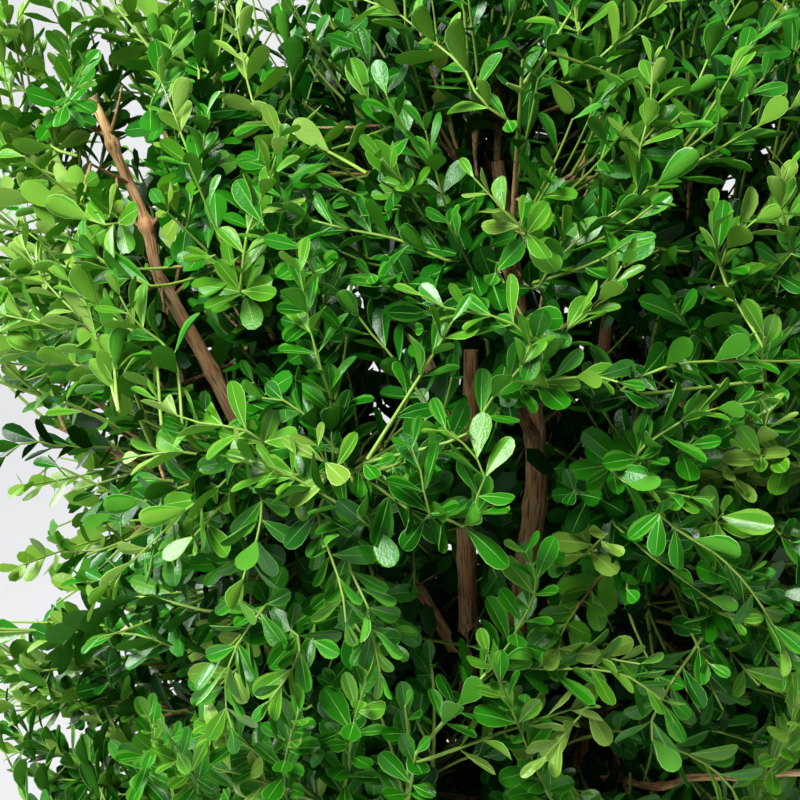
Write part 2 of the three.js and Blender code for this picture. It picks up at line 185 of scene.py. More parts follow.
class Path:
    """A smooth line in space that is read by the share of its length."""

    def __init__(self, points: np.ndarray) -> None:
        """Lays the line.

        Args:
            points: closely spaced points on it.
        """
        self.points = np.asarray(points, float)
        runs = np.linalg.norm(np.diff(self.points, axis=0), axis=1)
        self.runs = np.concatenate(([0.0], np.cumsum(runs)))
        self.length = float(self.runs[-1])

    @classmethod
    def bent(cls, start: np.ndarray, middle: np.ndarray, end: np.ndarray) -> "Path":
        """A parabola from start to end whose ends point at the middle."""
        t = np.linspace(0, 1, 201)[:, None]
        return cls((1 - t) ** 2 * start + 2 * t * (1 - t) * middle + t**2 * end)

    @classmethod
    def through(cls, knots: np.ndarray) -> "Path":
        """Draws a smooth line through a few points.

        Args:
            knots: the points, in order.

        Returns:
            The line, whose spans take their pace from the roots of their lengths.
        """
        knots = np.asarray(knots, float)
        ends = [2 * knots[0] - knots[1], *knots, 2 * knots[-1] - knots[-2]]
        t = np.linspace(0, 1, 60)[:, None]
        spans = []
        for a, b, c, d in zip(ends, ends[1:], ends[2:], ends[3:]):
            ab, bc, cd = (math.sqrt(np.linalg.norm(q - p)) for p, q in ((a, b), (b, c), (c, d)))
            out = ((b - a) / ab - (c - a) / (ab + bc) + (c - b) / bc) * bc
            into = ((c - b) / bc - (d - b) / (bc + cd) + (d - c) / cd) * bc
            cubic = 2 * b - 2 * c + out + into
            square = -3 * b + 3 * c - 2 * out - into
            spans.append((b + out * t + square * t**2 + cubic * t**3)[:-1])
        return cls(np.concatenate([*spans, knots[-1:]]))

    def at(self, shares: np.ndarray | float) -> np.ndarray:
        """The points at shares of the length."""
        where = np.asarray(shares) * self.length
        return np.stack([np.interp(where, self.runs, self.points[:, axis]) for axis in range(3)], axis=-1)

    def heading(self, shares: np.ndarray | float) -> np.ndarray:
        """The directions of the line at shares of the length."""
        shares = np.asarray(shares)
        return unit(self.at(np.minimum(shares + 0.004, 1)) - self.at(np.maximum(shares - 0.004, 0)))

    def spaced(self, step: float) -> np.ndarray:
        """Evenly spaced points, about a step apart."""
        return self.at(np.linspace(0, 1, max(2, round(self.length / step) + 1)))


@dataclass(frozen=True)
class Viewpoint:
    """Where the photograph was taken from, in millimetres and degrees, and what its square frame holds."""

    target: tuple[float, float, float] = (-50.0, 0.0, 530.0)
    distance: float = 1250.0
    elevation: float = 6.0
    field_of_view: float = 19.25
    frame_size: int = 800

    @property
    def place(self) -> np.ndarray:
        """The camera's place."""
        return np.array(self.target) + self.distance * direction(-90, self.elevation)

    @property
    def axes(self) -> tuple[np.ndarray, np.ndarray, np.ndarray]:
        """The directions ahead, to the right and up, as the viewer has them."""
        ahead, right = -direction(-90, self.elevation), np.array((1.0, 0.0, 0.0))
        return ahead, right, np.cross(right, ahead)

    @property
    def spread(self) -> float:
        """How far neighbouring pixels are apart at a distance of 1."""
        return math.tan(math.radians(self.field_of_view / 2)) / (self.frame_size / 2)

    def point(self, across_frame: float, down_frame: float, depth: float) -> np.ndarray:
        """Finds the point behind a place in the frame.

        Args:
            across_frame: how far the place is from the left, of frame_size.
            down_frame: how far it is from the top.
            depth: the point's Y.

        Returns:
            The point.
        """
        ahead, right, above = self.axes
        half = self.frame_size / 2
        ray = ahead + right * (across_frame - half) * self.spread + above * (half - down_frame) * self.spread
        return self.place + ray * (depth - self.place[1]) / ray[1]

    def pixels(self, points: np.ndarray) -> np.ndarray:
        """Finds the places of points in the frame.

        Args:
            points: the points.

        Returns:
            How far each is from the frame's left and from its top.
        """
        ahead, right, above = self.axes
        half = self.frame_size / 2
        seen = points - self.place
        far = seen @ ahead * self.spread
        return np.stack((half + seen @ right / far, half - seen @ above / far), axis=-1)


VIEW = Viewpoint()


@dataclass(frozen=True)
class Sight:
    """A way for the eye through the leaves, along a line in the photograph's frame, as far as a depth in Y."""

    line: tuple[tuple[float, float], ...]
    half_width: float
    depth: float
    narrow_below: float = 16.0
    open_beyond: float = 300.0

    @property
    def is_narrow(self) -> bool:
        """Whether a single shoot would close it."""
        return self.half_width < self.narrow_below

    @property
    def shows_paper(self) -> bool:
        """Whether it goes right through the crown."""
        return self.depth > self.open_beyond

    def holds(self, points: np.ndarray) -> np.ndarray:
        """Tells which points stand in the way.

        Args:
            points: the points.

        Returns:
            Whether each of them does.
        """
        seen = VIEW.pixels(points)
        line = np.array(self.line, float)
        return (line_distances(seen, line[:-1], line[1:]).min(1) < self.half_width) & (points[:, 1] < self.depth)


# Stretches of bare wood, then the dark gaps between the sprays, then the places where the paper shows through
SIGHTS = (
    Sight(((232, 412), (208, 365), (184, 320), (158, 276), (147, 226), (137, 200), (121, 165)), 11, -42),
    Sight(((121, 165), (108, 133), (92, 97)), 10, -46),
    Sight(((522, 612), (527, 560), (535, 500), (536, 470), (532, 415)), 13, -14),
    Sight(((518, 310), (511, 265)), 10, -8),
    Sight(((508, 222), (504, 200), (497, 160), (499, 110), (500, 92)), 10, -6),
    Sight(((470, 420), (471, 345)), 12, 16),
    Sight(((467, 606), (468, 540)), 10, 34),
    Sight(((592, 777), (650, 784), (672, 784)), 9, -90),
    Sight(((672, 784), (690, 778), (745, 776), (780, 774)), 9, -130),
    Sight(((374, 348), (384, 430)), 26, -60),
    Sight(((452, 568), (458, 660)), 24, -35),
    Sight(((580, 425), (622, 468)), 32, -50),
    Sight(((592, 590), (585, 745)), 24, -40),
    Sight(((448, 690), (462, 800)), 22, -65),
    Sight(((672, 600), (684, 670)), 16, -90),
    Sight(((325, 70), (345, 165)), 22, -60),
    Sight(((560, 110), (590, 180)), 18, -90),
    Sight(((615, 345), (660, 372)), 20, -70),
    Sight(((155, 665), (158, 700)), 14, -60),
    Sight(((-20, 405), (-10, 470), (0, 540), (14, 592)), 34, 400),
    Sight(((60, 594), (120, 612)), 7, 400),
    Sight(((45, 484), (52, 515)), 8, 400),
    Sight(((95, 402), (94, 436)), 5, 400),
    Sight(((93, 12), (99, 30), (103, 60)), 6, 400),
    Sight(((20, 8), (23, 20)), 5, 400),
    Sight(((46, 14), (50, 24)), 5, 400),
    Sight(((146, 22), (146, 32)), 7, 400),
    Sight(((134, 80), (136, 100), (134, 125), (140, 150)), 6, 400),
    Sight(((34, 98), (38, 128)), 5, 400),
    Sight(((8, 222), (40, 226), (62, 230)), 8, 400),
    Sight(((262, 32), (268, 46)), 8, 400),
    Sight(((236, 60), (236, 70)), 5, 400),
    Sight(((238, 145), (240, 152)), 4, 400),
    Sight(((44, 727), (58, 724)), 6, 400),
    Sight(((12, 620), (16, 650)), 7, 400),
    Sight(((130, 650), (138, 656)), 4, 400),
    Sight(((376, 362), (384, 366)), 5, 400),
    Sight(((386, 390), (390, 424)), 2, 400),
    Sight(((611, 588), (610, 596)), 3, 400),
    Sight(((760, 150), (788, 145)), 5, 400),
    Sight(((726, 180), (735, 190)), 5, 400),
)


@dataclass
class Mass:
    """One mass of foliage: where its stem begins, the furthest point that it reaches, and how it climbs."""

    name: str
    order: int
    entry: np.ndarray
    pole: np.ndarray
    incline: np.ndarray
    lift: float
    leader: Path | None = None

    @property
    def stem(self) -> Path:
        """The line of the mass's own stem."""
        if self.leader:
            return self.leader
        middle = self.entry + self.incline * np.linalg.norm(self.pole - self.entry) * 0.5
        return Path.bent(self.entry, middle, self.pole)


@dataclass
class Limb:
    """A stem or bough: its line, its taper, the flare at its foot and the mass at its end."""

    name: str
    path: Path
    foot_diameter: float
    tip_diameter: float
    carries: Mass
    flare: float = 0.0
    flare_height: float = 22.0

    def radius(self, shares: np.ndarray) -> np.ndarray:
        """Works out how thick the limb is.

        Args:
            shares: places as shares of its length.

        Returns:
            The radius at each.
        """
        taper = (self.foot_diameter + (self.tip_diameter - self.foot_diameter) * shares) / 2
        return taper * (1 + self.flare * np.exp(-shares * self.path.length / self.flare_height))


@dataclass(frozen=True)
class Ring:
    """A ring of masses round the crown. Azimuths run anticlockwise from +X, and incline is how steep a stem is."""

    name: str
    count: int
    elevation: float
    azimuth: float
    incline: float
    stem: float
    lift: float


@dataclass(frozen=True)
class StemSpec:
    """A woody stem, from its foot in the compost by way of a few bends to the mass at its tip."""

    name: str
    foot: tuple[float, float]
    foot_diameter: float
    tip_diameter: float
    bends: tuple[tuple[float, float, float], ...]
    carries: str


@dataclass(frozen=True)
class Offshoot:
    """Wood that grows on from a stem to an old pruning cut, by places in the photograph's frame and their Y."""

    name: str
    stem: str
    leaves_at: float
    bends: tuple[tuple[float, float, float], ...]
    diameters: tuple[float, float]
    knuckles: tuple[tuple[float, float], ...]
    cut_diameters: tuple[float, float]
    cut_points: int


@dataclass(frozen=True)
class Hollow:
    """An ellipsoid without foliage."""

    at: tuple[float, float, float]
    radii: tuple[float, float, float]

    def holds(self, points: np.ndarray) -> np.ndarray:
        """Which of the points lie inside."""
        return np.linalg.norm((points - np.array(self.at)) / np.array(self.radii), axis=-1) < 1


@dataclass
class Crown:
    """The plan of the whole plant: its masses, stems and boughs, laid out by the rule of the solids."""

    centre: tuple[float, float, float] = (0.0, 0.0, 530.0)
    reach: float = 295.0
    pole_inside: float = 4.0
    lobe_radius: float = 132.0
    pot_radius: float = 165.0
    pot_height: float = 245.0
    pot_clearance: float = 5.0
    limb_clearance: float = 1.5
    compost_top: float = 222.0
    stem_sunk: float = 6.0
    bough_climb: float = 0.62
    bough_lowest: float = 262.0
    bough_stagger: float = 3.0
    bough_bend: float = 0.45
    bough_diameters: tuple[float, float] = (7.5, 4.6)
    stem_flare: float = 0.55
    seed: int = 521
    # How far a mass may stand from its even place in its ring, in degrees
    unevenness: float = 4.0
    # An offshoot starts inside its stem, over this share of the stem's length
    overlap: float = 0.03
    # How many straight spans stand for a limb where foliage has to clear it
    limb_spans: int = 8
    left_stem_tip: tuple[float, float, float] = (-172.0, -50.0, 598.0)
    offshoots: tuple[Offshoot, ...] = (
        Offshoot(
            "left_leader",
            "left_stem",
            0.97,
            ((147, 226, -51), (137, 200, -52), (121, 165, -53), (108, 133, -54), (99, 112, -55), (91, 97, -56)),
            (6.0, 4.5),
            ((0.36, 0.75), (0.76, 0.6)),
            (5.4, 8.0),
            26,
        ),
        Offshoot(
            "rear_stub",
            "rear_left_stem",
            0.42,
            ((469, 560, 29), (468, 480, 22), (470, 417, 18), (471, 350, 16)),
            (8.2, 7.8),
            ((0.5, 0.12), (0.8, 0.1)),
            (7.4, 5.2),
            20,
        ),
        Offshoot(
            "low_right_bough",
            "lower_bough_3",
            0.8,
            ((650, 786, -85), (672, 784, -112), (690, 778, -132), (745, 776, -160), (806, 772, -176)),
            (4.1, 3.3),
            ((0.4, 0.18), (0.55, 0.12), (0.8, 0.15)),
            (3.4, 3.0),
            12,
        ),
    )
    # The crown swells a little at the left: how far, which way, and over what angle in radians
    swells: tuple[tuple[float, tuple[float, float], float], ...] = (
        (28.0, (193.0, 38.0), 0.42),
        (22.0, (190.0, -32.0), 0.36),
    )
    rings: tuple[Ring, ...] = (
        Ring("top", 1, 86, 20, 88, 165, 0.02),
        Ring("upper", 5, 40, 195, 50, 165, 0.03),
        Ring("middle", 6, 3, 180, 24, 162, 0.035),
        Ring("lower", 5, -38, 180, 2, 142, 0.02),
    )
    stem_specs: tuple[StemSpec, ...] = (
        StemSpec("centre_stem", (4, -6), 19, 7, ((15, -9, 420), (22, -9, 495), (12, -6, 580)), "top_foliage"),
        StemSpec("left_stem", (-22, -8), 15, 6.4, ((-60, -24, 350), (-139, -43, 535)), "upper_foliage_1"),
        StemSpec("right_stem", (31, 4), 15, 6, ((50, 0, 350), (92, -20, 500)), "upper_foliage_3"),
        StemSpec("rear_right_stem", (16, 29), 14, 6, ((28, 48, 360), (56, 62, 500)), "upper_foliage_4"),
        StemSpec("rear_left_stem", (-16, 24), 15, 6, ((-12, 38, 400), (-22, 56, 510)), "upper_foliage_5"),
    )
    hollows: tuple[Hollow, ...] = (Hollow((-312, -30, 490), (82, 190, 58)), Hollow((-116, 0, 812), (22, 160, 100)))
    masses: list[Mass] = field(default_factory=list)
    stems: list[Limb] = field(default_factory=list)
    boughs: list[Limb] = field(default_factory=list)

    def __post_init__(self) -> None:
        """Lays out the masses, then the stems and boughs that carry them."""
        self.lay_out_masses()
        for spec in self.stem_specs:
            mass = next(m for m in self.masses if m.name == spec.carries)
            foot = (*spec.foot, self.compost_top - self.stem_sunk)
            path = Path.through(np.array((foot, *spec.bends, tuple(mass.entry))))
            self.stems.append(Limb(spec.name, path, spec.foot_diameter, spec.tip_diameter, mass, self.stem_flare))
        self.stems[1].carries.leader = self.path_of(self.offshoots[0])
        carried = {stem.carries.name for stem in self.stems}
        self.boughs += [self.bough_to(mass) for mass in self.masses if mass.name not in carried]
        self.offshoot_paths = [self.path_of(offshoot) for offshoot in self.offshoots]
        self.axes = np.array([m.entry for m in self.masses]), np.array([m.pole for m in self.masses])
        shares = np.linspace(0, 1, self.limb_spans + 1)
        lines = [limb.path.at(shares) for limb in self.limbs]
        self.limb_starts = np.concatenate([line[:-1] for line in lines])
        self.limb_ends = np.concatenate([line[1:] for line in lines])
        self.limb_radii = np.concatenate([limb.radius(shares[1:]) for limb in self.limbs])

    @property
    def limbs(self) -> list[Limb]:
        """The stems, then the boughs."""
        return [*self.stems, *self.boughs]

    def lay_out_masses(self) -> None:
        """Gives every mass its place in its ring."""
        draws = Draws(self.seed)
        for ring in self.rings:
            for i in range(ring.count):
                turn = ring.azimuth + 360 / ring.count * i + draws.between(-self.unevenness, self.unevenness)
                outwards = direction(turn, ring.elevation + draws.between(-self.unevenness, self.unevenness))
                pole = np.array(self.centre) + outwards * (self.reach - self.pole_inside)
                incline = direction(turn, ring.incline)
                name = f"{ring.name}_foliage" if ring.count == 1 else f"{ring.name}_foliage_{i + 1}"
                entry = pole - incline * ring.stem
                if name == "upper_foliage_1":
                    entry = np.array(self.left_stem_tip)
                    incline = unit(pole - entry)
                self.masses.append(Mass(name, len(self.masses), entry, pole, incline, ring.lift))

    def path_of(self, offshoot: Offshoot) -> Path:
        """Lays the line of an offshoot.

        Args:
            offshoot: the offshoot.

        Returns:
            The line, which begins inside its stem or bough.
        """
        stem = next(limb for limb in self.limbs if limb.name == offshoot.stem)
        first = stem.path.at(np.array((offshoot.leaves_at, min(1.0, offshoot.leaves_at + self.overlap))))
        return Path.through(np.array([*first, *(VIEW.point(x, y, depth) for x, y, depth in offshoot.bends)]))

    def bough_to(self, mass: Mass) -> Limb:
        """Grows the bough that carries a mass.

        Args:
            mass: a mass that no stem carries.

        Returns:
            The bough, from the nearest place on a stem.
        """
        run = math.hypot(mass.entry[0], mass.entry[1])
        height = max(self.bough_lowest + self.bough_stagger * mass.order, mass.entry[2] - run * self.bough_climb)
        starts = []
        for stem in self.stems:
            points = stem.path.at(np.linspace(0, 1, 201))
            starts.append(points[np.abs(points[:, 2] - height).argmin()])
        start = min(starts, key=lambda point: float(np.linalg.norm(point - mass.entry)))
        bend = mass.entry - mass.incline * self.bough_bend * np.linalg.norm(start - mass.entry)
        path = Path.bent(start, bend, mass.entry)
        return Limb(mass.name.replace("foliage", "bough"), path, *self.bough_diameters, mass)

    def facing(self, across_frame: float, down_frame: float, under: float, behind: bool = False) -> np.ndarray:
        """Finds the point at a place in the photograph's frame and at a depth under the crown's reach.

        Args:
            across_frame: how far the place is from the left of the frame.
            down_frame: how far it is from the top.
            under: how deep the point lies, in millimetres.
            behind: whether it lies on the far side of the crown.

        Returns:
            The point, or the nearest one where the line of sight passes the crown by.
        """
        start = VIEW.place
        way = unit(VIEW.point(across_frame, down_frame, 0.0) - start)
        middle = float(way @ (np.array(self.centre) - start))
        aside = np.linalg.norm(start + way * middle - np.array(self.centre))
        chord = math.sqrt(max(0.0, (self.reach - under) ** 2 - aside**2))
        return start + way * (middle + (chord if behind else -chord))

    def outwards(self, points: np.ndarray) -> np.ndarray:
        """The directions from the crown's centre to points."""
        return unit(points - np.array(self.centre))

    def depth(self, points: np.ndarray) -> np.ndarray:
        """Works out how deep points lie under the crown's outer reach.

        Args:
            points: the points.

        Returns:
            The depth of each, below zero outside.
        """
        reach = np.full(len(points), self.reach)
        for far, way, angle in self.swells:
            off = np.arccos(np.clip(self.outwards(points) @ direction(*way), -1, 1))
            reach += far * np.exp(-((off / angle) ** 2))
        return reach - np.linalg.norm(points - np.array(self.centre), axis=-1)

    def room(self, mass: Mass, points: np.ndarray, margin: float, between: float) -> np.ndarray:
        """Tells which points lie in a mass's own space.

        Args:
            mass: the mass.
            points: the points.
            margin: how far inside the outer limits they have to be.
            between: how much nearer to the mass's stem than to any other's they have to be.

        Returns:
            Whether each point has room.
        """
        reach = line_distances(points, *self.axes)
        own = reach[:, mass.order].copy()
        reach[:, mass.order] = np.inf
        good = (self.depth(points) >= margin) & (own <= self.lobe_radius - margin)
        good &= reach.min(1) - own >= between
        for hollow in self.hollows:
            good &= ~hollow.holds(points)
        clearance = self.pot_clearance + margin
        over_pot = np.hypot(points[:, 0], points[:, 1]) < self.pot_radius + clearance
        good &= ~(over_pot & (points[:, 2] < self.pot_height + clearance))
        limbs = line_distances(points, self.limb_starts, self.limb_ends)
        return good & (limbs > self.limb_radii + self.limb_clearance + margin).all(1)


def smooth_mesh(name: str, points: list, faces: list) -> bpy.types.Mesh:
    """Makes a mesh that is shaded smooth.

    Args:
        name: the mesh's name.
        points: its points in metres.
        faces: the numbers of the points of each face.

    Returns:
        The mesh.
    """
    mesh = bpy.data.meshes.new(name)
    mesh.from_pydata(points, [], faces)
    mesh.polygons.foreach_set("use_smooth", [True] * len(faces))
    return mesh


def placed(name: str, data: bpy.types.ID) -> bpy.types.Object:
    """Adds an object to the scene.

    Args:
        name: the object's name.
        data: its mesh, lamp or lens.

    Returns:
        The object.
    """
    made = bpy.data.objects.new(name, data)
    bpy.context.scene.collection.objects.link(made)
    return made


def aimed(name: str, data: bpy.types.ID, place: Vector, target: Vector) -> bpy.types.Object:
    """Adds a lamp or camera that is turned towards a target.

    Args:
        name: its name.
        data: the lamp or lens.
        place: where it is.
        target: the place that it is turned to.

    Returns:
        The object.
    """
    made = placed(name, data)
    made.location = place
    made.rotation_mode = "QUATERNION"
    made.rotation_quaternion = (target - place).to_track_quat("-Z", "Y")
    return made


def carrier(name: str, points: np.ndarray, edges: np.ndarray, values: dict[str, np.ndarray]) -> bpy.types.Mesh:
    """Makes the mesh of points and edges that a tree of geometry nodes starts from.

    Args:
        name: the mesh's name.
        points: its points in millimetres.
        edges: pairs of point numbers.
        values: named values of the points: whole numbers, numbers or vectors.

    Returns:
        The mesh, in metres.
    """
    mesh = bpy.data.meshes.new(name)
    mesh.from_pydata((np.asarray(points) * MM).tolist(), np.asarray(edges).tolist(), [])
    for key, value in values.items():
        value = np.asarray(value)
        if value.ndim == 2:
            mesh.attributes.new(key, "FLOAT_VECTOR", "POINT").data.foreach_set("vector", value.astype(float).ravel())
        elif value.dtype.kind == "i":
            mesh.attributes.new(key, "INT", "POINT").data.foreach_set("value", value)
        else:
            mesh.attributes.new(key, "FLOAT", "POINT").data.foreach_set("value", value.astype(float))
    return mesh


def shaped(name: str, start: bpy.types.Mesh, tree: bpy.types.NodeTree, values: dict[str, object]) -> bpy.types.Object:
    """Runs a tree of geometry nodes and keeps its result as a plain mesh.

    Args:
        name: the new object's name.
        start: the mesh that the tree starts from.
        tree: the tree.
        values: the tree's named inputs.

    Returns:
        The object, at the origin and with no modifier.
    """
    piece = placed(name, start)
    modifier = piece.modifiers.new(tree.name, "NODES")
    modifier.node_group = tree
    for socket in tree.interface.items_tree:
        if socket.name in values:
            modifier[socket.identifier] = values[socket.name]
    depsgraph = bpy.context.evaluated_depsgraph_get()
    made = bpy.data.meshes.new_from_object(
        piece.evaluated_get(depsgraph), preserve_all_data_layers=True, depsgraph=depsgraph
    )
    piece.modifiers.remove(modifier)
    piece.data = made
    made.name = name
    bpy.data.meshes.remove(start)
    return piece


def new_tree(name: str, sockets: dict[str, str]) -> tuple[bpy.types.NodeTree, bpy.types.NodeOutputs]:
    """Begins a tree of geometry nodes.

    Args:
        name: the tree's name.
        sockets: the kinds of its inputs by name, in order. Its one output is a geometry.

    Returns:
        The tree and what it is given, by name.
    """
    tree = bpy.data.node_groups.new(name, "GeometryNodeTree")
    for label, kind in sockets.items():
        tree.interface.new_socket(label, in_out="INPUT", socket_type=f"NodeSocket{kind}")
    tree.interface.new_socket("Result", in_out="OUTPUT", socket_type="NodeSocketGeometry")
    return tree, tree.nodes.new("NodeGroupInput").outputs


def end_tree(tree: bpy.types.NodeTree, shape: bpy.types.Node, finish: bpy.types.NodeSocket) -> bpy.types.NodeTree:
    """Ends a tree of geometry nodes.

    Args:
        tree: the tree.
        shape: the node that gives the whole shape.
        finish: the input that gives its material.

    Returns:
        The tree, whose result is a real mesh.
    """
    real = add_node(tree, "GeometryNodeRealizeInstances", {"Geometry": shape})
    dressed = add_node(tree, "GeometryNodeSetMaterial", {"Geometry": real, "Material": finish})
    add_node(tree, "NodeGroupOutput", {"Result": dressed})
    return tree


def swept(tree: bpy.types.NodeTree, line: bpy.types.Node, ring: bpy.types.Node) -> bpy.types.Node:
    """Sweeps a ring along lines in a tree of geometry nodes.

    Args:
        tree: the tree.
        line: the node that gives the lines, whose thickness is the ring's radius.
        ring: the node that gives the ring.

    Returns:
        The node that gives the tubes.
    """
    thickness = add_node(tree, "GeometryNodeInputNamedAttribute", {"Name": "thickness"})
    inputs = {"Curve": line, "Profile Curve": ring, "Scale": thickness, "Fill Caps": True}
    return add_node(tree, "GeometryNodeCurveToMesh", inputs)


def new_material(name: str) -> tuple[bpy.types.Material, bpy.types.NodeTree, bpy.types.NodeSocket]:
    """Begins a material.

    Args:
        name: the material's name.

    Returns:
        The material, its empty tree, and the place on the piece that its patterns read.
    """
    made = bpy.data.materials.new(name)
    made.use_nodes = True
    made.node_tree.nodes.clear()
    return made, made.node_tree, add_node(made.node_tree, "ShaderNodeTexCoord").outputs["Object"]


def rides(piece: bpy.types.Object, slot: str, *nodes: str) -> bpy.types.Object:
    """Ties a finished piece to the plant's one body.

    Args:
        piece: the piece.
        slot: the record's material slot; not used.
        nodes: the solids that the piece stands for.

    Returns:
        The piece.
    """
    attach(piece, "root")
    if nodes:
        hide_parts(*nodes)
    LOG.info("%s: %d faces", piece.name, len(piece.data.polygons))
    return piece


class Tone(IntEnum):
    """The greens of the leaves, from the oldest to the youngest, and the few that have yellowed. The darker greens also
    paint shade inside the crown and the paler ones paint light on it.
    """

    DEEP = 0
    MIDDLE = 1
    BRIGHT = 2
    FRESH = 3
    LIME = 4
    YELLOWED = 5


class LeafPart(IntEnum):
    """The parts of a leaf that differ in colour."""

    UPPER = 0
    UNDER = 1
    # The midrib, whose pale colour also goes on the margin of the finest leaves: partly the paler rolled edge, partly a
    # painted highlight along it
    RIB = 2


@dataclass(frozen=True)
class BoxLeaf:
    """A leaf of common box: a thin leathery blade under a clear wax, so it shines softly and lets some light pass."""

    tone: Tone
    part: LeafPart
    colour: str
    roughness: float
    through: float
    # Pores and dust on the wax, about a millimetre apart so that they show
    pores_per_metre: float = 900.0
    pore_depth: float = 0.0003

    @property
    def shine(self) -> float:
        """How much light the wax throws back: most above, and on the younger leaves."""
        return 0.26 + 0.18 * min(self.tone, Tone.BRIGHT) if self.part is LeafPart.UPPER else 0.14

    def material(self) -> bpy.types.Material:
        """Builds the finish.

        Returns:
            The material: a waxy surface mixed with light that comes through from behind.
        """
        made, tree, place = new_material(f"box_leaf_{self.tone.name.lower()}_{self.part.name.lower()}")
        pores = add_node(tree, "ShaderNodeTexNoise", {"Vector": place, "Scale": self.pores_per_metre, "Detail": 2.0})
        bump = add_node(tree, "ShaderNodeBump", {"Height": pores, "Strength": 0.6, "Distance": self.pore_depth})
        skin = {"Base Color": linear(self.colour), "Roughness": self.roughness, "IOR": 1.45, "Normal": bump}
        blade = add_node(tree, "ShaderNodeBsdfPrincipled", {**skin, "Specular IOR Level": self.shine})
        glow = add_node(tree, "ShaderNodeBsdfTranslucent", {"Color": linear(self.colour)})
        mixed = add_node(tree, "ShaderNodeMixShader", {0: self.through, 1: blade, 2: glow})
        add_node(tree, "ShaderNodeOutputMaterial", {"Surface": mixed})
        return made


@dataclass(frozen=True)
class LeafColours:
    """The three colours of one tone of leaf, and how much light it lets through."""

    upper: str
    under: str
    # The midrib's colour, and the margin's, partly as a painted highlight along the edge
    rib: str
    through: float


@dataclass(frozen=True)
class Guide:
    """A shoot that the photograph shows clearly: its line in the frame, its depth at both ends, and its green, which is
    partly its age and partly painted light where the shoot is lit and painted shade where it is shaded.
    """

    line: tuple[tuple[float, float], ...]
    under: tuple[float, float]
    tone: Tone
    behind: bool = False
    half_width: float = 17.0

    def places(self, crown: Crown) -> np.ndarray:
        """The points that the shoot passes, from its foot to its tip."""
        depths = np.linspace(*self.under, len(self.line))
        return np.array([crown.facing(*place, depth, self.behind) for place, depth in zip(self.line, depths)])

    def covered(self, crown: Crown, points: np.ndarray) -> np.ndarray:
        """Tells which points would hide the shoot from the viewer.

        Args:
            crown: the crown that it grows in.
            points: the points.

        Returns:
            Whether each of them would.
        """
        line = Path.through(self.places(crown)).spaced(5)
        seen, line_seen = VIEW.pixels(points), VIEW.pixels(line)
        low, high = line_seen.min(0) - self.half_width, line_seen.max(0) + self.half_width
        hidden = ((seen > low) & (seen < high)).all(1)
        apart = np.linalg.norm(seen[hidden][:, None] - line_seen, axis=-1)
        hidden[hidden] = (apart.min(1) < self.half_width) & (points[hidden, 1] < line[apart.argmin(1), 1] - 3)
        return hidden


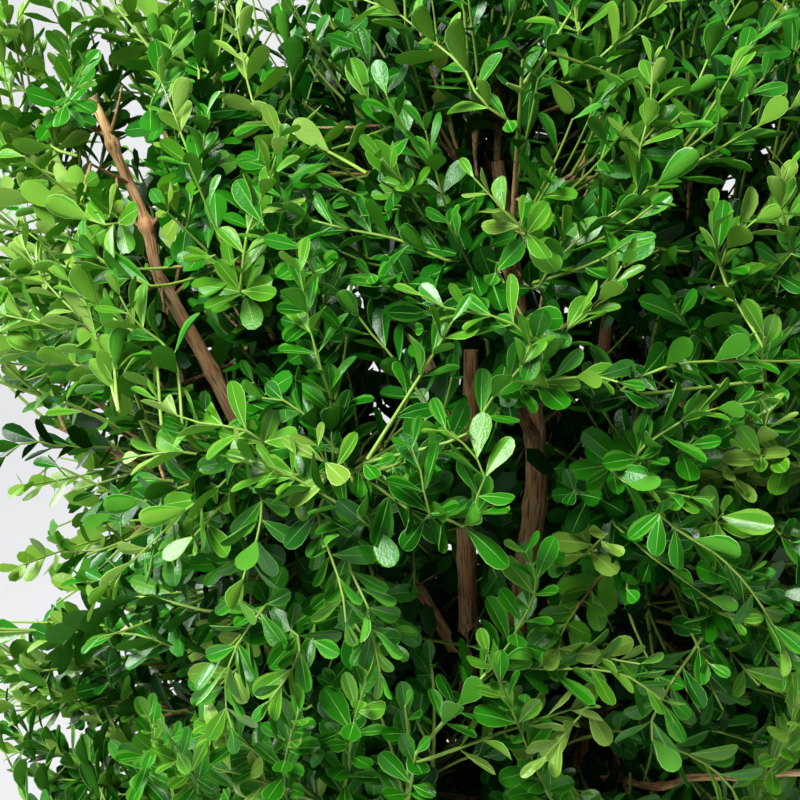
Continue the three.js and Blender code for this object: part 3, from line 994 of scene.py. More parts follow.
GUIDES = (
    # Lower left, drooping towards the viewer
    Guide(((345, 815), (348, 770), (353, 728), (360, 702), (368, 676)), (40, 12), Tone.BRIGHT),
    Guide(((352, 575), (366, 600), (372, 632), (380, 672)), (26, 5), Tone.BRIGHT),
    Guide(((318, 510), (325, 540), (333, 562), (342, 590), (346, 622)), (30, 8), Tone.BRIGHT),
    Guide(((262, 610), (240, 640), (229, 665), (225, 700), (232, 728)), (30, 5), Tone.BRIGHT),
    Guide(((262, 500), (258, 535), (247, 565), (238, 598)), (28, 6), Tone.BRIGHT),
    Guide(((250, 455), (215, 490), (189, 507), (162, 533), (123, 570), (98, 594)), (30, 8), Tone.FRESH),
    Guide(((215, 470), (170, 492), (136, 504), (112, 514)), (36, 18), Tone.MIDDLE),
    Guide(((215, 612), (170, 602), (145, 597), (119, 602), (92, 616), (72, 634), (56, 658), (46, 682)),
          (60, 30), Tone.DEEP),
    Guide(((225, 662), (203, 653), (170, 646), (145, 636), (118, 633)), (60, 40), Tone.DEEP),
    Guide(((128, 815), (136, 790), (145, 769), (153, 744), (150, 715)), (40, 14), Tone.BRIGHT),
    Guide(((60, 815), (40, 770), (22, 735), (8, 712)), (50, 25), Tone.MIDDLE),
    Guide(((110, 812), (92, 775), (66, 752), (45, 735)), (44, 18), Tone.BRIGHT),
    Guide(((205, 812), (196, 780), (180, 757), (172, 738)), (36, 12), Tone.BRIGHT),
    Guide(((290, 812), (284, 775), (290, 740), (300, 710)), (36, 10), Tone.BRIGHT),
    Guide(((300, 640), (296, 662), (282, 684), (270, 700)), (30, 8), Tone.BRIGHT),
    Guide(((262, 440), (240, 428), (205, 424), (178, 416), (158, 400)), (24, 6), Tone.FRESH),
    Guide(((236, 462), (200, 454), (170, 452), (140, 456)), (34, 16), Tone.FRESH),
    # Middle
    Guide(((372, 528), (359, 517), (316, 490), (285, 473), (258, 462)), (26, 8), Tone.BRIGHT),
    Guide(((338, 452), (316, 429), (291, 403), (262, 398)), (40, 22), Tone.MIDDLE),
    Guide(((334, 470), (333, 446), (330, 395), (321, 369), (311, 332), (306, 304), (300, 272)), (50, 12), Tone.BRIGHT),
    Guide(((430, 415), (415, 388), (390, 354), (364, 325), (350, 300)), (60, 40), Tone.MIDDLE),
    Guide(((535, 345), (520, 328), (500, 318), (470, 312), (440, 306), (424, 296)), (14, 2), Tone.BRIGHT),
    Guide(((470, 432), (488, 403), (505, 385), (522, 366), (530, 346)), (24, 10), Tone.BRIGHT),
    Guide(((432, 522), (425, 500), (423, 478), (412, 448)), (18, 5), Tone.MIDDLE),
    Guide(((470, 526), (475, 502), (485, 475), (468, 448), (446, 430)), (14, 3), Tone.BRIGHT),
    Guide(((522, 228), (505, 212), (490, 195), (474, 178)), (14, 2), Tone.FRESH),
    Guide(((505, 650), (518, 628), (532, 602), (536, 578), (526, 552)), (40, 10), Tone.BRIGHT),
    Guide(((562, 815), (548, 795), (534, 765), (522, 735), (511, 708), (499, 680), (488, 655)), (40, 8), Tone.BRIGHT),
    # Right
    Guide(((534, 388), (542, 364), (575, 321), (602, 296), (622, 266)), (40, 12), Tone.BRIGHT),
    Guide(((520, 385), (545, 380), (570, 378), (594, 376), (618, 382)), (36, 18), Tone.BRIGHT),
    Guide(((620, 392), (643, 376), (679, 364), (747, 361), (800, 361), (830, 358)), (34, 12), Tone.MIDDLE),
    Guide(((640, 450), (672, 427), (703, 412), (755, 402)), (34, 18), Tone.BRIGHT),
    Guide(((660, 515), (684, 534), (715, 553), (743, 580), (772, 623), (788, 660)), (26, 4), Tone.BRIGHT),
    Guide(((610, 520), (629, 537), (653, 558), (680, 577), (697, 590), (726, 610)), (54, 30), Tone.MIDDLE),
    Guide(((505, 665), (537, 669), (575, 669), (599, 670), (629, 677), (660, 699)), (40, 18), Tone.BRIGHT),
    Guide(((650, 735), (684, 752), (713, 769), (730, 786), (745, 815)), (34, 12), Tone.BRIGHT),
    Guide(((740, 830), (768, 775), (788, 735), (798, 695)), (34, 12), Tone.FRESH),
    Guide(((610, 470), (630, 485), (655, 490), (690, 497)), (44, 22), Tone.BRIGHT),
    Guide(((574, 82), (601, 56), (642, 22), (676, -12)), (60, 20), Tone.FRESH),
    Guide(((633, 199), (639, 153), (650, 109), (652, 66)), (44, 14), Tone.FRESH),
    Guide(((600, 225), (639, 196), (705, 157), (771, 119), (820, 92)), (44, 14), Tone.BRIGHT),
    Guide(((690, 92), (705, 65), (722, 32), (744, -5)), (54, 24), Tone.BRIGHT),
    Guide(((540, 285), (555, 262), (601, 221), (635, 201)), (50, 30), Tone.MIDDLE),
    # Deep in the shade, in front of the right stems
    Guide(((632, 474), (608, 444), (588, 412), (572, 384)), (130, 105), Tone.DEEP, half_width=1),
    Guide(((556, 476), (576, 448), (598, 420), (622, 400)), (135, 110), Tone.DEEP, half_width=1),
    Guide(((650, 706), (628, 662), (608, 620), (590, 580)), (140, 105), Tone.DEEP, half_width=1),
    Guide(((572, 700), (598, 656), (624, 610), (640, 580)), (140, 110), Tone.DEEP, half_width=1),
    Guide(((560, 560), (584, 592), (606, 640), (618, 690)), (140, 110), Tone.DEEP, half_width=1),
    # Upper left
    Guide(((240, 290), (243, 266), (246, 238), (256, 211), (266, 187), (276, 157), (279, 138)), (44, 8), Tone.FRESH),
    Guide(((188, 225), (192, 200), (201, 170), (204, 141), (206, 116)), (62, 30), Tone.MIDDLE),
    Guide(((454, 262), (400, 240), (342, 228), (300, 215), (282, 198)), (50, 22), Tone.MIDDLE),
    Guide(((88, 160), (68, 118), (51, 80), (29, 55), (12, 7), (4, -16)), (60, 24), Tone.LIME),
    Guide(((80, 205), (50, 165), (20, 130), (-10, 100)), (44, 15), Tone.LIME),
    Guide(((215, 76), (192, 65), (160, 48), (126, 34), (100, 12), (80, -8)), (54, 18), Tone.FRESH),
    Guide(((505, 118), (480, 100), (465, 70), (425, 35), (400, 15), (344, -8)), (40, 12), Tone.FRESH),
    Guide(((130, 385), (95, 371), (68, 362), (34, 349), (-5, 338)), (60, 25), Tone.FRESH),
    Guide(((105, 320), (70, 290), (40, 262), (15, 240)), (50, 20), Tone.FRESH),
    Guide(((165, 392), (141, 386), (95, 376), (56, 372), (28, 380)), (96, 66), Tone.DEEP),
    Guide(((140, 452), (100, 447), (68, 447), (25, 442), (6, 456)), (116, 84), Tone.DEEP),
    Guide(((80, 132), (74, 100), (70, 66), (66, 26)), (50, 24), Tone.FRESH),
    Guide(((96, 128), (90, 100), (86, 78), (86, 52)), (60, 40), Tone.MIDDLE),
    Guide(((109, 130), (110, 95), (119, 65), (127, 36)), (62, 40), Tone.MIDDLE, half_width=9),
    Guide(((180, 118), (178, 70), (174, 36), (168, 2)), (60, 34), Tone.MIDDLE),
    Guide(((200, 110), (198, 60), (191, 24), (189, -14)), (56, 24), Tone.MIDDLE),
    Guide(((222, 118), (222, 66), (216, 30), (210, -8)), (66, 40), Tone.DEEP),
    Guide(((252, 100), (246, 70), (240, 44), (236, 20)), (44, 20), Tone.LIME),
    Guide(((290, 120), (292, 84), (286, 40), (290, 4)), (70, 46), Tone.DEEP),
    Guide(((163, 66), (160, 34), (152, 6), (146, -18)), (40, 14), Tone.FRESH),
    Guide(((196, 168), (184, 142), (174, 114), (162, 84)), (48, 24), Tone.FRESH),
    Guide(((30, 140), (14, 110), (4, 70), (2, 34)), (40, 20), Tone.FRESH),
    Guide(((62, 152), (42, 136), (26, 122), (8, 114)), (30, 8), Tone.LIME),
    Guide(((112, 226), (80, 216), (50, 206), (22, 197), (-10, 196)), (34, 8), Tone.FRESH),
    Guide(((118, 268), (88, 252), (62, 232), (44, 218)), (40, 22), Tone.FRESH),
    Guide(((92, 330), (66, 304), (44, 280), (26, 250)), (30, 10), Tone.LIME),
    Guide(((150, 345), (118, 322), (92, 300), (70, 282)), (34, 16), Tone.FRESH),
    Guide(((52, 128), (62, 110), (72, 92), (84, 66)), (30, 8), Tone.BRIGHT),
    Guide(((34, 116), (30, 84), (22, 56), (10, 24)), (28, 6), Tone.FRESH),
    Guide(((75, 48), (60, 22), (48, 0), (40, -20)), (30, 10), Tone.FRESH),
    Guide(((20, 66), (14, 40), (4, 14), (-8, -14)), (26, 6), Tone.LIME),
    Guide(((150, 108), (160, 86), (166, 60), (178, 30)), (36, 14), Tone.BRIGHT),
    Guide(((58, 256), (34, 236), (14, 226), (-10, 222)), (34, 10), Tone.LIME),
    Guide(((60, 330), (38, 322), (18, 318), (-8, 312)), (40, 14), Tone.FRESH),
    Guide(((100, 292), (76, 272), (50, 262), (24, 262)), (36, 12), Tone.FRESH),
    Guide(((150, 286), (128, 276), (104, 262), (84, 244)), (34, 12), Tone.BRIGHT),
    Guide(((172, 352), (150, 334), (132, 318), (120, 296)), (32, 12), Tone.BRIGHT),
    # Bottom left
    Guide(((34, 818), (20, 786), (8, 758), (-6, 736)), (34, 10), Tone.BRIGHT),
    Guide(((176, 712), (146, 706), (118, 694), (106, 668)), (62, 44), Tone.DEEP),
    Guide(((96, 818), (102, 796), (103, 772), (100, 746)), (50, 34), Tone.DEEP),
    Guide(((70, 700), (52, 690), (36, 680), (14, 676)), (66, 40), Tone.MIDDLE),
    Guide(((80, 770), (56, 752), (36, 742), (14, 734)), (70, 46), Tone.MIDDLE),
    Guide(((150, 790), (110, 782), (70, 790), (30, 800)), (74, 50), Tone.MIDDLE),
    Guide(((170, 770), (134, 748), (110, 728), (88, 716)), (60, 30), Tone.LIME, behind=True),
    Guide(((150, 800), (100, 770), (64, 756), (20, 752)), (60, 30), Tone.FRESH, behind=True),
    Guide(((120, 700), (80, 696), (50, 704), (16, 706)), (60, 30), Tone.FRESH, behind=True),
    # More young tips
    Guide(((588, 706), (576, 720), (562, 738), (546, 756)), (36, 12), Tone.LIME),
    Guide(((560, 650), (590, 654), (616, 660), (640, 664)), (40, 24), Tone.FRESH),
    Guide(((735, 470), (752, 450), (764, 432), (768, 414)), (36, 16), Tone.LIME),
    Guide(((815, 470), (790, 462), (768, 458), (748, 450)), (36, 20), Tone.FRESH),
    Guide(((328, 466), (322, 456), (318, 446)), (16, 8), Tone.LIME),
    Guide(((282, 475), (262, 470), (248, 462), (240, 452)), (16, 4), Tone.FRESH),
    Guide(((430, 360), (438, 346), (446, 334), (452, 322)), (16, 2), Tone.BRIGHT),
    Guide(((790, 250), (786, 226), (780, 198), (786, 170)), (40, 18), Tone.FRESH),
    Guide(((720, 262), (736, 238), (752, 222), (776, 214)), (40, 20), Tone.FRESH),
    Guide(((135, 462), (90, 474), (60, 480), (24, 486)), (60, 30), Tone.LIME, behind=True),
    Guide(((130, 530), (90, 542), (58, 552), (20, 566)), (60, 24), Tone.LIME, behind=True),
)

# The darker tones stand partly for painted shade inside the crown and at its right, the paler ones partly for painted
# light at its edge, top and left. The third colour of each is the midrib's, and the margin's, partly as a painted
# highlight along the edge
LEAF_COLOURS = {
    Tone.DEEP: LeafColours("#0a3e03", "#285f10", "#5c8c4a", 0.16),
    Tone.MIDDLE: LeafColours("#155e06", "#3a7c18", "#6ca652", 0.2),
    Tone.BRIGHT: LeafColours("#267f0b", "#509628", "#80b858", 0.26),
    Tone.FRESH: LeafColours("#50981b", "#76ac36", "#9ec868", 0.34),
    Tone.LIME: LeafColours("#82ae3c", "#9cc45a", "#bcd87c", 0.42),
    Tone.YELLOWED: LeafColours("#8cb834", "#a4c64e", "#c6d482", 0.42),
}


@dataclass(frozen=True)
class GreenShoot:
    """The smooth skin of this year's shoots: yellow-green, with a dull shine."""

    colour: str = "#8fae46"
    shaded: str = "#5f8430"
    drift_per_metre: float = 60.0

    def material(self) -> bpy.types.Material:
        """Builds the finish.

        Returns:
            The material, whose colour drifts along the shoots.
        """
        made, tree, place = new_material("box_green_shoot")
        drift = add_node(tree, "ShaderNodeTexNoise", {"Vector": place, "Scale": self.drift_per_metre, "Detail": 2.0})
        blend = {0: drift, 6: linear(self.shaded), 7: linear(self.colour)}
        colour = add_node(tree, "ShaderNodeMix", blend, data_type="RGBA").outputs[2]
        skin = add_node(tree, "ShaderNodeBsdfPrincipled", {"Base Color": colour, "Roughness": 0.45, "IOR": 1.4})
        add_node(tree, "ShaderNodeOutputMaterial", {"Surface": skin})
        return made


@dataclass(frozen=True)
class BoxBark:
    """The thin corky bark of old box wood: pale tan ridges over brown furrows, dry and matt."""

    name: str = "box_bark"
    ridge: str = "#e6c48e"
    middle: str = "#cc9c66"
    furrow: str = "#865c38"
    by_limb: bool = True
    furrow_bump: float = 0.5
    furrow_depth: float = 0.0008
    spots_per_metre: float = 500.0
    patches_per_metre: float = 45.0

    def material(self) -> bpy.types.Material:
        """Builds the finish.

        Returns:
            The material, whose grain follows each limb by its own attribute.
        """
        made, tree, place = new_material(self.name)
        grain = add_node(tree, "ShaderNodeAttribute", attribute_name="grain").outputs["Vector"]
        # On a limb the grain counts furrows, and on a twig the spots are 2 mm across
        pattern, scale = (grain, 1.0) if self.by_limb else (place, self.spots_per_metre)
        furrows = add_node(tree, "ShaderNodeTexNoise", {"Vector": pattern, "Scale": scale, "Detail": 4.0})
        steep = {"Value": furrows, "From Min": 0.33, "From Max": 0.55}
        steep = add_node(tree, "ShaderNodeMapRange", steep, interpolation_type="SMOOTHSTEP")
        # Weathering, a few centimetres across
        weather = {"Vector": place, "Scale": self.patches_per_metre, "Detail": 3.0}
        patches = add_node(tree, "ShaderNodeTexNoise", weather)
        pale = add_node(tree, "ShaderNodeMapRange", {"Value": patches, "From Min": 0.35, "From Max": 0.65})
        top = {0: pale, 6: linear(self.middle), 7: linear(self.ridge)}
        top = add_node(tree, "ShaderNodeMix", top, data_type="RGBA").outputs[2]
        colour = {0: steep, 6: linear(self.furrow), 7: top}
        colour = add_node(tree, "ShaderNodeMix", colour, data_type="RGBA").outputs[2]
        relief = {"Height": furrows, "Strength": self.furrow_bump, "Distance": self.furrow_depth}
        bump = add_node(tree, "ShaderNodeBump", relief)
        skin = {"Base Color": colour, "Roughness": 0.85, "IOR": 1.45, "Normal": bump}
        bark = add_node(tree, "ShaderNodeBsdfPrincipled", skin)
        add_node(tree, "ShaderNodeOutputMaterial", {"Surface": bark})
        return made


@dataclass(frozen=True)
class Terracotta:
    """Unglazed red clay, thrown and fired: matt and orange-brown, with a chalky bloom of lime from hard water."""

    clay: str = "#b4653c"
    dark_clay: str = "#96502f"
    bloom: str = "#d2a98c"
    mottle_per_metre: float = 22.0
    streaks_per_metre: float = 16.0
    # Sand in the clay, about half a millimetre across, drawn at one so that it shows
    grit_per_metre: float = 700.0
    # Turning marks run round the pot, about 5 mm apart
    turning_per_metre: float = 190.0
    relief_depth: float = 0.0012

    def material(self) -> bpy.types.Material:
        """Builds the finish.

        Returns:
            The material, with mottled clay, a bloom in upright streaks, and fine grit.
        """
        made, tree, place = new_material("fired_terracotta")
        mottle = add_node(tree, "ShaderNodeTexNoise", {"Vector": place, "Scale": self.mottle_per_metre, "Detail": 5.0})
        clay = {0: mottle, 6: linear(self.dark_clay), 7: linear(self.clay)}
        clay = add_node(tree, "ShaderNodeMix", clay, data_type="RGBA").outputs[2]
        upright = add_node(tree, "ShaderNodeMapping", {"Vector": place, "Scale": (1.0, 1.0, 0.35)})
        streaks = {"Vector": upright, "Scale": self.streaks_per_metre, "Detail": 6.0}
        streaks = add_node(tree, "ShaderNodeTexNoise", streaks)
        chalk = {"Value": streaks, "From Min": 0.5, "From Max": 0.72, "To Max": 0.75}
        chalk = add_node(tree, "ShaderNodeMapRange", chalk, interpolation_type="SMOOTHSTEP")
        colour = {0: chalk, 6: clay, 7: linear(self.bloom)}
        colour = add_node(tree, "ShaderNodeMix", colour, data_type="RGBA").outputs[2]
        grit = add_node(tree, "ShaderNodeTexNoise", {"Vector": place, "Scale": self.grit_per_metre, "Detail": 2.0})
        level = add_node(tree, "ShaderNodeMapping", {"Vector": place, "Scale": (0.02, 0.02, 1.0)})
        turning = {"Vector": level, "Scale": self.turning_per_metre, "Detail": 1.0}
        turning = add_node(tree, "ShaderNodeTexNoise", turning)
        relief = add_node(tree, "ShaderNodeMath", {0: grit, 1: 0.25, 2: turning}, operation="MULTIPLY_ADD")
        bump = add_node(tree, "ShaderNodeBump", {"Height": relief, "Strength": 0.5, "Distance": self.relief_depth})
        skin = {"Base Color": colour, "Roughness": 0.9, "IOR": 1.5, "Normal": bump}
        body = add_node(tree, "ShaderNodeBsdfPrincipled", skin)
        add_node(tree, "ShaderNodeOutputMaterial", {"Surface": body})
        return made


@dataclass(frozen=True)
class Compost:
    """Peaty potting compost or chipped bark on it: dark, damp and matt."""

    name: str
    dark: str
    light: str
    crumbs_per_metre: float = 260.0
    crumb_depth: float = 0.003

    def material(self) -> bpy.types.Material:
        """Builds the finish.

        Returns:
            The material, with crumbs of a few millimetres.
        """
        made, tree, place = new_material(self.name)
        crumbs = add_node(tree, "ShaderNodeTexNoise", {"Vector": place, "Scale": self.crumbs_per_metre, "Detail": 5.0})
        spread = add_node(tree, "ShaderNodeMapRange", {"Value": crumbs, "From Min": 0.35, "From Max": 0.68})
        blend = {0: spread, 6: linear(self.dark), 7: linear(self.light)}
        colour = add_node(tree, "ShaderNodeMix", blend, data_type="RGBA").outputs[2]
        bump = add_node(tree, "ShaderNodeBump", {"Height": crumbs, "Strength": 0.9, "Distance": self.crumb_depth})
        skin = {"Base Color": colour, "Roughness": 0.92, "IOR": 1.4, "Normal": bump}
        soil = add_node(tree, "ShaderNodeBsdfPrincipled", skin)
        add_node(tree, "ShaderNodeOutputMaterial", {"Surface": soil})
        return made


@dataclass
class Woodwork:
    """The trunk stems and boughs, as tubes with knuckles and the furrows of their bark."""

    crown: Crown
    sides: int = 32
    bough_sides: int = 12
    ring_step: float = 2.0
    furrow_width: float = 1.15
    furrow_length: float = 15.0
    furrow_depth: float = 0.32
    knuckle_step: tuple[float, float] = (24.0, 46.0)
    knuckle_swell: tuple[float, float] = (0.06, 0.2)
    knuckle_length: float = 4.5
    given_knuckle_length: float = 4.0
    # No knuckle of its own stands so near a limb's tip
    plain_tip: float = 6.0
    limb_seed: int = 11
    offshoot_seed: int = 71
    cut_seed: int = 75

    def tree(self) -> bpy.types.NodeTree:
        """Builds the geometry nodes of a limb.

        Returns:
            The tree: a tube along a line of points, pushed in and out by furrows that run with it.
        """
        tree, given = new_tree(
            "furrowed_limb",
            {
                "Line": "Geometry",
                "Sides": "Int",
                "Furrow width": "Float",
                "Furrow length": "Float",
                "Furrow depth": "Float",
                "Bark": "Material",
            },
        )
        line = add_node(tree, "GeometryNodeMeshToCurve", {"Mesh": given["Line"]})
        ring = add_node(tree, "GeometryNodeCurvePrimitiveCircle", {"Resolution": given["Sides"], "Radius": 1.0})
        spline = add_node(tree, "GeometryNodeSplineParameter").outputs
        line = {"Geometry": line, "Name": "along", "Value": spline["Length"]}
        line = add_node(tree, "GeometryNodeStoreNamedAttribute", line)
        ring = {"Geometry": ring, "Name": "around", "Value": spline["Factor"]}
        ring = add_node(tree, "GeometryNodeStoreNamedAttribute", ring)
        tube = swept(tree, line, ring)
        around, along, thickness = (
            add_node(tree, "GeometryNodeInputNamedAttribute", {"Name": name})
            for name in ("around", "along", "thickness")
        )
        # The grain counts furrows: round the limb as the sides of a turn, and along it
        angle = add_node(tree, "ShaderNodeMath", {0: around, 1: math.tau}, operation="MULTIPLY")
        girth = add_node(tree, "ShaderNodeMath", {0: thickness, 1: given["Furrow width"]}, operation="DIVIDE")
        grain = {2: add_node(tree, "ShaderNodeMath", {0: along, 1: given["Furrow length"]}, operation="DIVIDE")}
        for axis, side in enumerate(("COSINE", "SINE")):
            share = add_node(tree, "ShaderNodeMath", {0: angle}, operation=side)
            grain[axis] = add_node(tree, "ShaderNodeMath", {0: share, 1: girth}, operation="MULTIPLY")
        grain = add_node(tree, "ShaderNodeCombineXYZ", grain)
        kept = {"Geometry": tube, "Name": "grain", "Value": grain}
        grained = add_node(tree, "GeometryNodeStoreNamedAttribute", kept, data_type="FLOAT_VECTOR")
        furrows = {"Vector": grain, "Scale": 1.0, "Detail": 2.0, "Roughness": 0.6}
        furrows = add_node(tree, "ShaderNodeTexNoise", furrows)
        cut = {"Value": furrows, "From Min": 0.3, "From Max": 0.6, "To Min": -1.0, "To Max": 0.25}
        cut = add_node(tree, "ShaderNodeMapRange", cut)
        push = add_node(tree, "ShaderNodeMath", {0: cut, 1: given["Furrow depth"]}, operation="MULTIPLY")
        normal = add_node(tree, "GeometryNodeInputNormal")
        offset = add_node(tree, "ShaderNodeVectorMath", {0: normal, "Scale": push}, operation="SCALE")
        pushed = add_node(tree, "GeometryNodeSetPosition", {"Geometry": grained, "Offset": offset})
        return end_tree(tree, add_node(tree, "GeometryNodeSetShadeSmooth", {"Geometry": pushed}), given["Bark"])

    def line_of(self, limb: Limb, seed: int, knuckles: tuple[tuple[float, float], ...] = ()) -> bpy.types.Mesh:
        """Lays the points of a limb, with its thickness at each.

        Args:
            limb: the limb.
            seed: fixes where its knuckles are.
            knuckles: more of them, each by its share of the length and its swell.

        Returns:
            The carrier mesh.
        """
        points = limb.path.spaced(self.ring_step)
        shares = np.linspace(0, 1, len(points))
        runs = shares * limb.path.length
        thickness = limb.radius(shares)
        draws = np.random.default_rng(seed)
        at = draws.uniform(*self.knuckle_step)
        while at < limb.path.length - self.plain_tip:
            swell = draws.uniform(*self.knuckle_swell)
            thickness = thickness * (1 + swell * np.exp(-(((runs - at) / self.knuckle_length) ** 2)))
            at += draws.uniform(*self.knuckle_step)
        for share, swell in knuckles:
            off = (shares - share) * limb.path.length / self.given_knuckle_length
            thickness = thickness * (1 + swell * np.exp(-(off**2)))
        count = len(points)
        edges = np.stack((np.arange(count - 1), np.arange(1, count)), axis=1)
        return carrier(f"{limb.name}_line", points, edges, {"thickness": thickness * MM})

    def build(self) -> list[bpy.types.Object]:
        """Builds every stem and bough.

        Returns:
            The pieces, each in place of its solid.
        """
        tree = self.tree()
        bark = BoxBark().material()
        pruned = BoxBark("pruned_wood", "#ead3a4", "#dcb985", "#b48a58").material()
        thick = {
            "Sides": self.sides,
            "Furrow width": self.furrow_width * MM,
            "Furrow length": self.furrow_length * MM,
            "Furrow depth": self.furrow_depth * MM,
            "Bark": bark,
        }
        thin = {**thick, "Sides": self.bough_sides, "Furrow depth": self.furrow_depth / 2 * MM}
        made = []
        for seed, limb in enumerate(self.crown.limbs, start=self.limb_seed):
            values = thick if limb in self.crown.stems else thin
            piece = shaped(f"{limb.name}_bark", self.line_of(limb, seed), tree, values)
            made.append(rides(piece, "bark", limb.name))
        for number, (offshoot, path) in enumerate(zip(self.crown.offshoots, self.crown.offshoot_paths)):
            stem = next(limb for limb in self.crown.limbs if limb.name == offshoot.stem)
            # The stub stands among the stems, and the others among leaves
            node = stem.name if offshoot.name == "rear_stub" else stem.carries.name
            limb = Limb(offshoot.name, path, *offshoot.diameters, stem.carries)
            line = self.line_of(limb, self.offshoot_seed + number, offshoot.knuckles)
            made.append(rides(shaped(f"{offshoot.name}_bark", line, tree, thick), "bark", node))
            last = Path(path.points[-offshoot.cut_points :])
            limb = Limb(f"{offshoot.name}_cut", last, *offshoot.cut_diameters, stem.carries)
            line = self.line_of(limb, self.cut_seed + number)
            made.append(rides(shaped(f"{offshoot.name}_cut", line, tree, {**thick, "Bark": pruned}), "bark", node))
        return made


@dataclass(frozen=True)
class LeafForm:
    """How one form of leaf is bent, as shares of its length, and how finely it is made, from 0 to 3."""

    name: str
    half_width: float
    dish: float
    droop: float
    belly: float
    level: int


LEAF_SHAPES = (
    ("spoon", 0.235, 0.07, -0.04, 0.03),
    ("flat", 0.25, -0.02, -0.08, 0.02),
    ("domed", 0.23, -0.07, -0.13, 0.02),
    ("upturned", 0.215, 0.11, 0.07, -0.02),
    ("narrow", 0.175, 0.07, 0.02, 0.0),
)
# In front a leaf has a pale margin, partly its paler rolled edge and partly a painted highlight along it, and a midrib;
# behind that the midrib, and deeper inside it is plain
LEAF_FORMS = (
    *(LeafForm(f"margined_{name}", *sizes, 0) for name, *sizes in LEAF_SHAPES),
    *(LeafForm(name, *sizes, 1) for name, *sizes in LEAF_SHAPES),
    LeafForm("far", 0.25, -0.045, -0.07, 0.02, 2),
    LeafForm("inner", 0.255, -0.05, -0.05, 0.02, 3),
)


@dataclass
class LeafBlade:
    """The closed mesh of one leaf of length 1, which lies along +Y and faces +Z."""

    form: LeafForm
    # For each level, where the outline is taken along the leaf, and its share of the half width there
    outlines: tuple[tuple[tuple[float, float], ...], ...] = (
        ((0.07, 0.12), (0.26, 0.47), (0.48, 0.86), (0.69, 1.0), (0.86, 0.83), (0.96, 0.47)),
        ((0.08, 0.12), (0.31, 0.56), (0.56, 0.95), (0.78, 0.93), (0.94, 0.58)),
        ((0.27, 0.5), (0.62, 1.0), (0.89, 0.74)),
        ((0.34, 0.8), (0.8, 0.82)),
    )
    rib_half: float = 0.014
    rib_sunk: float = 0.012
    margin: float = 0.016
    thickness: float = 0.018

    def height(self, along: float) -> float:
        """How high the middle of the blade is at a place along it."""
        return self.form.droop * along**2 + self.form.belly * math.sin(math.pi * along)

    def row(self, along: float, share: float) -> list[tuple[float, float, float]]:
        """Lays out the points at one place along the blade.

        Args:
            along: the place.
            share: the outline's share of the half width there.

        Returns:
            The points across the upper side, then the one underneath, if the blade has a midrib.
        """
        half, middle = self.form.half_width * share, self.height(along)
        edge = middle + self.form.dish * share**2
        if self.form.level > 1:
            return [(-half, along, edge), (0.0, along, middle), (half, along, edge)]
        groove = middle - self.rib_sunk * share
        side = [(half, edge), (self.rib_half * (1.15 - along), groove)]
        if self.form.level == 0:
            inner = max(half - self.margin, half * 0.6)
            side.insert(1, (inner, middle + self.form.dish * (share * inner / half) ** 2 - 0.004))
        left = [(-x, along, z) for x, z in side]
        return [*left, *((x, along, z) for x, z in reversed(side)), (0.0, along, groove - self.thickness)]

    def mesh(self) -> bpy.types.Mesh:
        """Builds the blade.

        Returns:
            The mesh, with the part of the leaf on each face and a sharp margin.
        """
        rows = [self.row(*place) for place in self.outlines[self.form.level]]
        points = [(0.0, 0.0, 0.0), *(point for row in rows for point in row), (0.0, 1.0, self.height(1.0))]
        step, tip = len(rows[0]), len(points) - 1
        last = tip - step
        firsts = range(1, last, step)
        plain = self.form.level > 1
        wide = step if plain else step - 1
        # Strips across the upper side: at level 1 the midrib, and at level 0 also both margins, take the third colour,
        # the margins partly as a painted highlight along the edge
        upper = [LeafPart.UPPER if plain or (j + self.form.level) % 2 else LeafPart.RIB for j in range(wide - 1)]
        faces, parts = [], []
        for j, part in enumerate(upper):
            faces += [(i + j, i + j + 1, i + j + 1 + step, i + j + step) for i in firsts]
            faces += [(0, j + 2, j + 1), (last + j, last + j + 1, tip)]
            parts += [part] * (len(firsts) + 2)
        for j, k in ((0, wide - 1),) if plain else ((0, wide), (wide, wide - 1)):
            faces += [(i + j, i + j + step, i + k + step, i + k) for i in firsts]
            faces += [(0, j + 1, k + 1), (last + j, tip, last + k)]
            parts += [LeafPart.UNDER] * (len(firsts) + 2)
        mesh = smooth_mesh(f"blade_{self.form.name}", points, faces)
        mesh.attributes.new("part", "INT", "FACE").data.foreach_set("value", [int(part) for part in parts])
        margins = ([0, *range(1, tip, step), tip], [0, *range(wide, tip, step), tip])
        sharp = {frozenset(pair) for side in margins for pair in zip(side, side[1:])}
        flags = [frozenset(edge.vertices) in sharp for edge in mesh.edges]
        mesh.attributes.new("sharp_edge", "BOOLEAN", "EDGE").data.foreach_set("value", flags)
        return mesh


@dataclass
class Shoot:
    """A stem, twig or shoot.

    It has its nodes, its radii at both ends, how many of its nodes are bare and how many are old, and the last one
    that carries another shoot. Where the photograph shows it, it also has its tone and the node where its line begins.
    """

    nodes: np.ndarray
    radii: tuple[float, float]
    bare: int = 1
    old: int = 0
    last_child: int = 0
    tone: Tone | None = None
    foot: int = 0


@dataclass
class Leaves:
    """Leaves by their roots, the ways that they point in and face, lengths, tones, and nodes.

    They are guided by 1 on the foot of a shoot that the photograph shows, and by 2 beyond.
    """

    roots: list[np.ndarray] = field(default_factory=list)
    ways: list[np.ndarray] = field(default_factory=list)
    faces: list[np.ndarray] = field(default_factory=list)
    lengths: list[np.ndarray] = field(default_factory=list)
    tones: list[np.ndarray] = field(default_factory=list)
    guided: list[np.ndarray] = field(default_factory=list)
    nodes: list[np.ndarray] = field(default_factory=list)

    def joined(self) -> tuple[np.ndarray, ...]:
        """Each kind of value as one array."""
        parts = (self.roots, self.ways, self.faces, self.lengths, self.tones, self.guided, self.nodes)
        return tuple(np.concatenate(part) for part in parts)


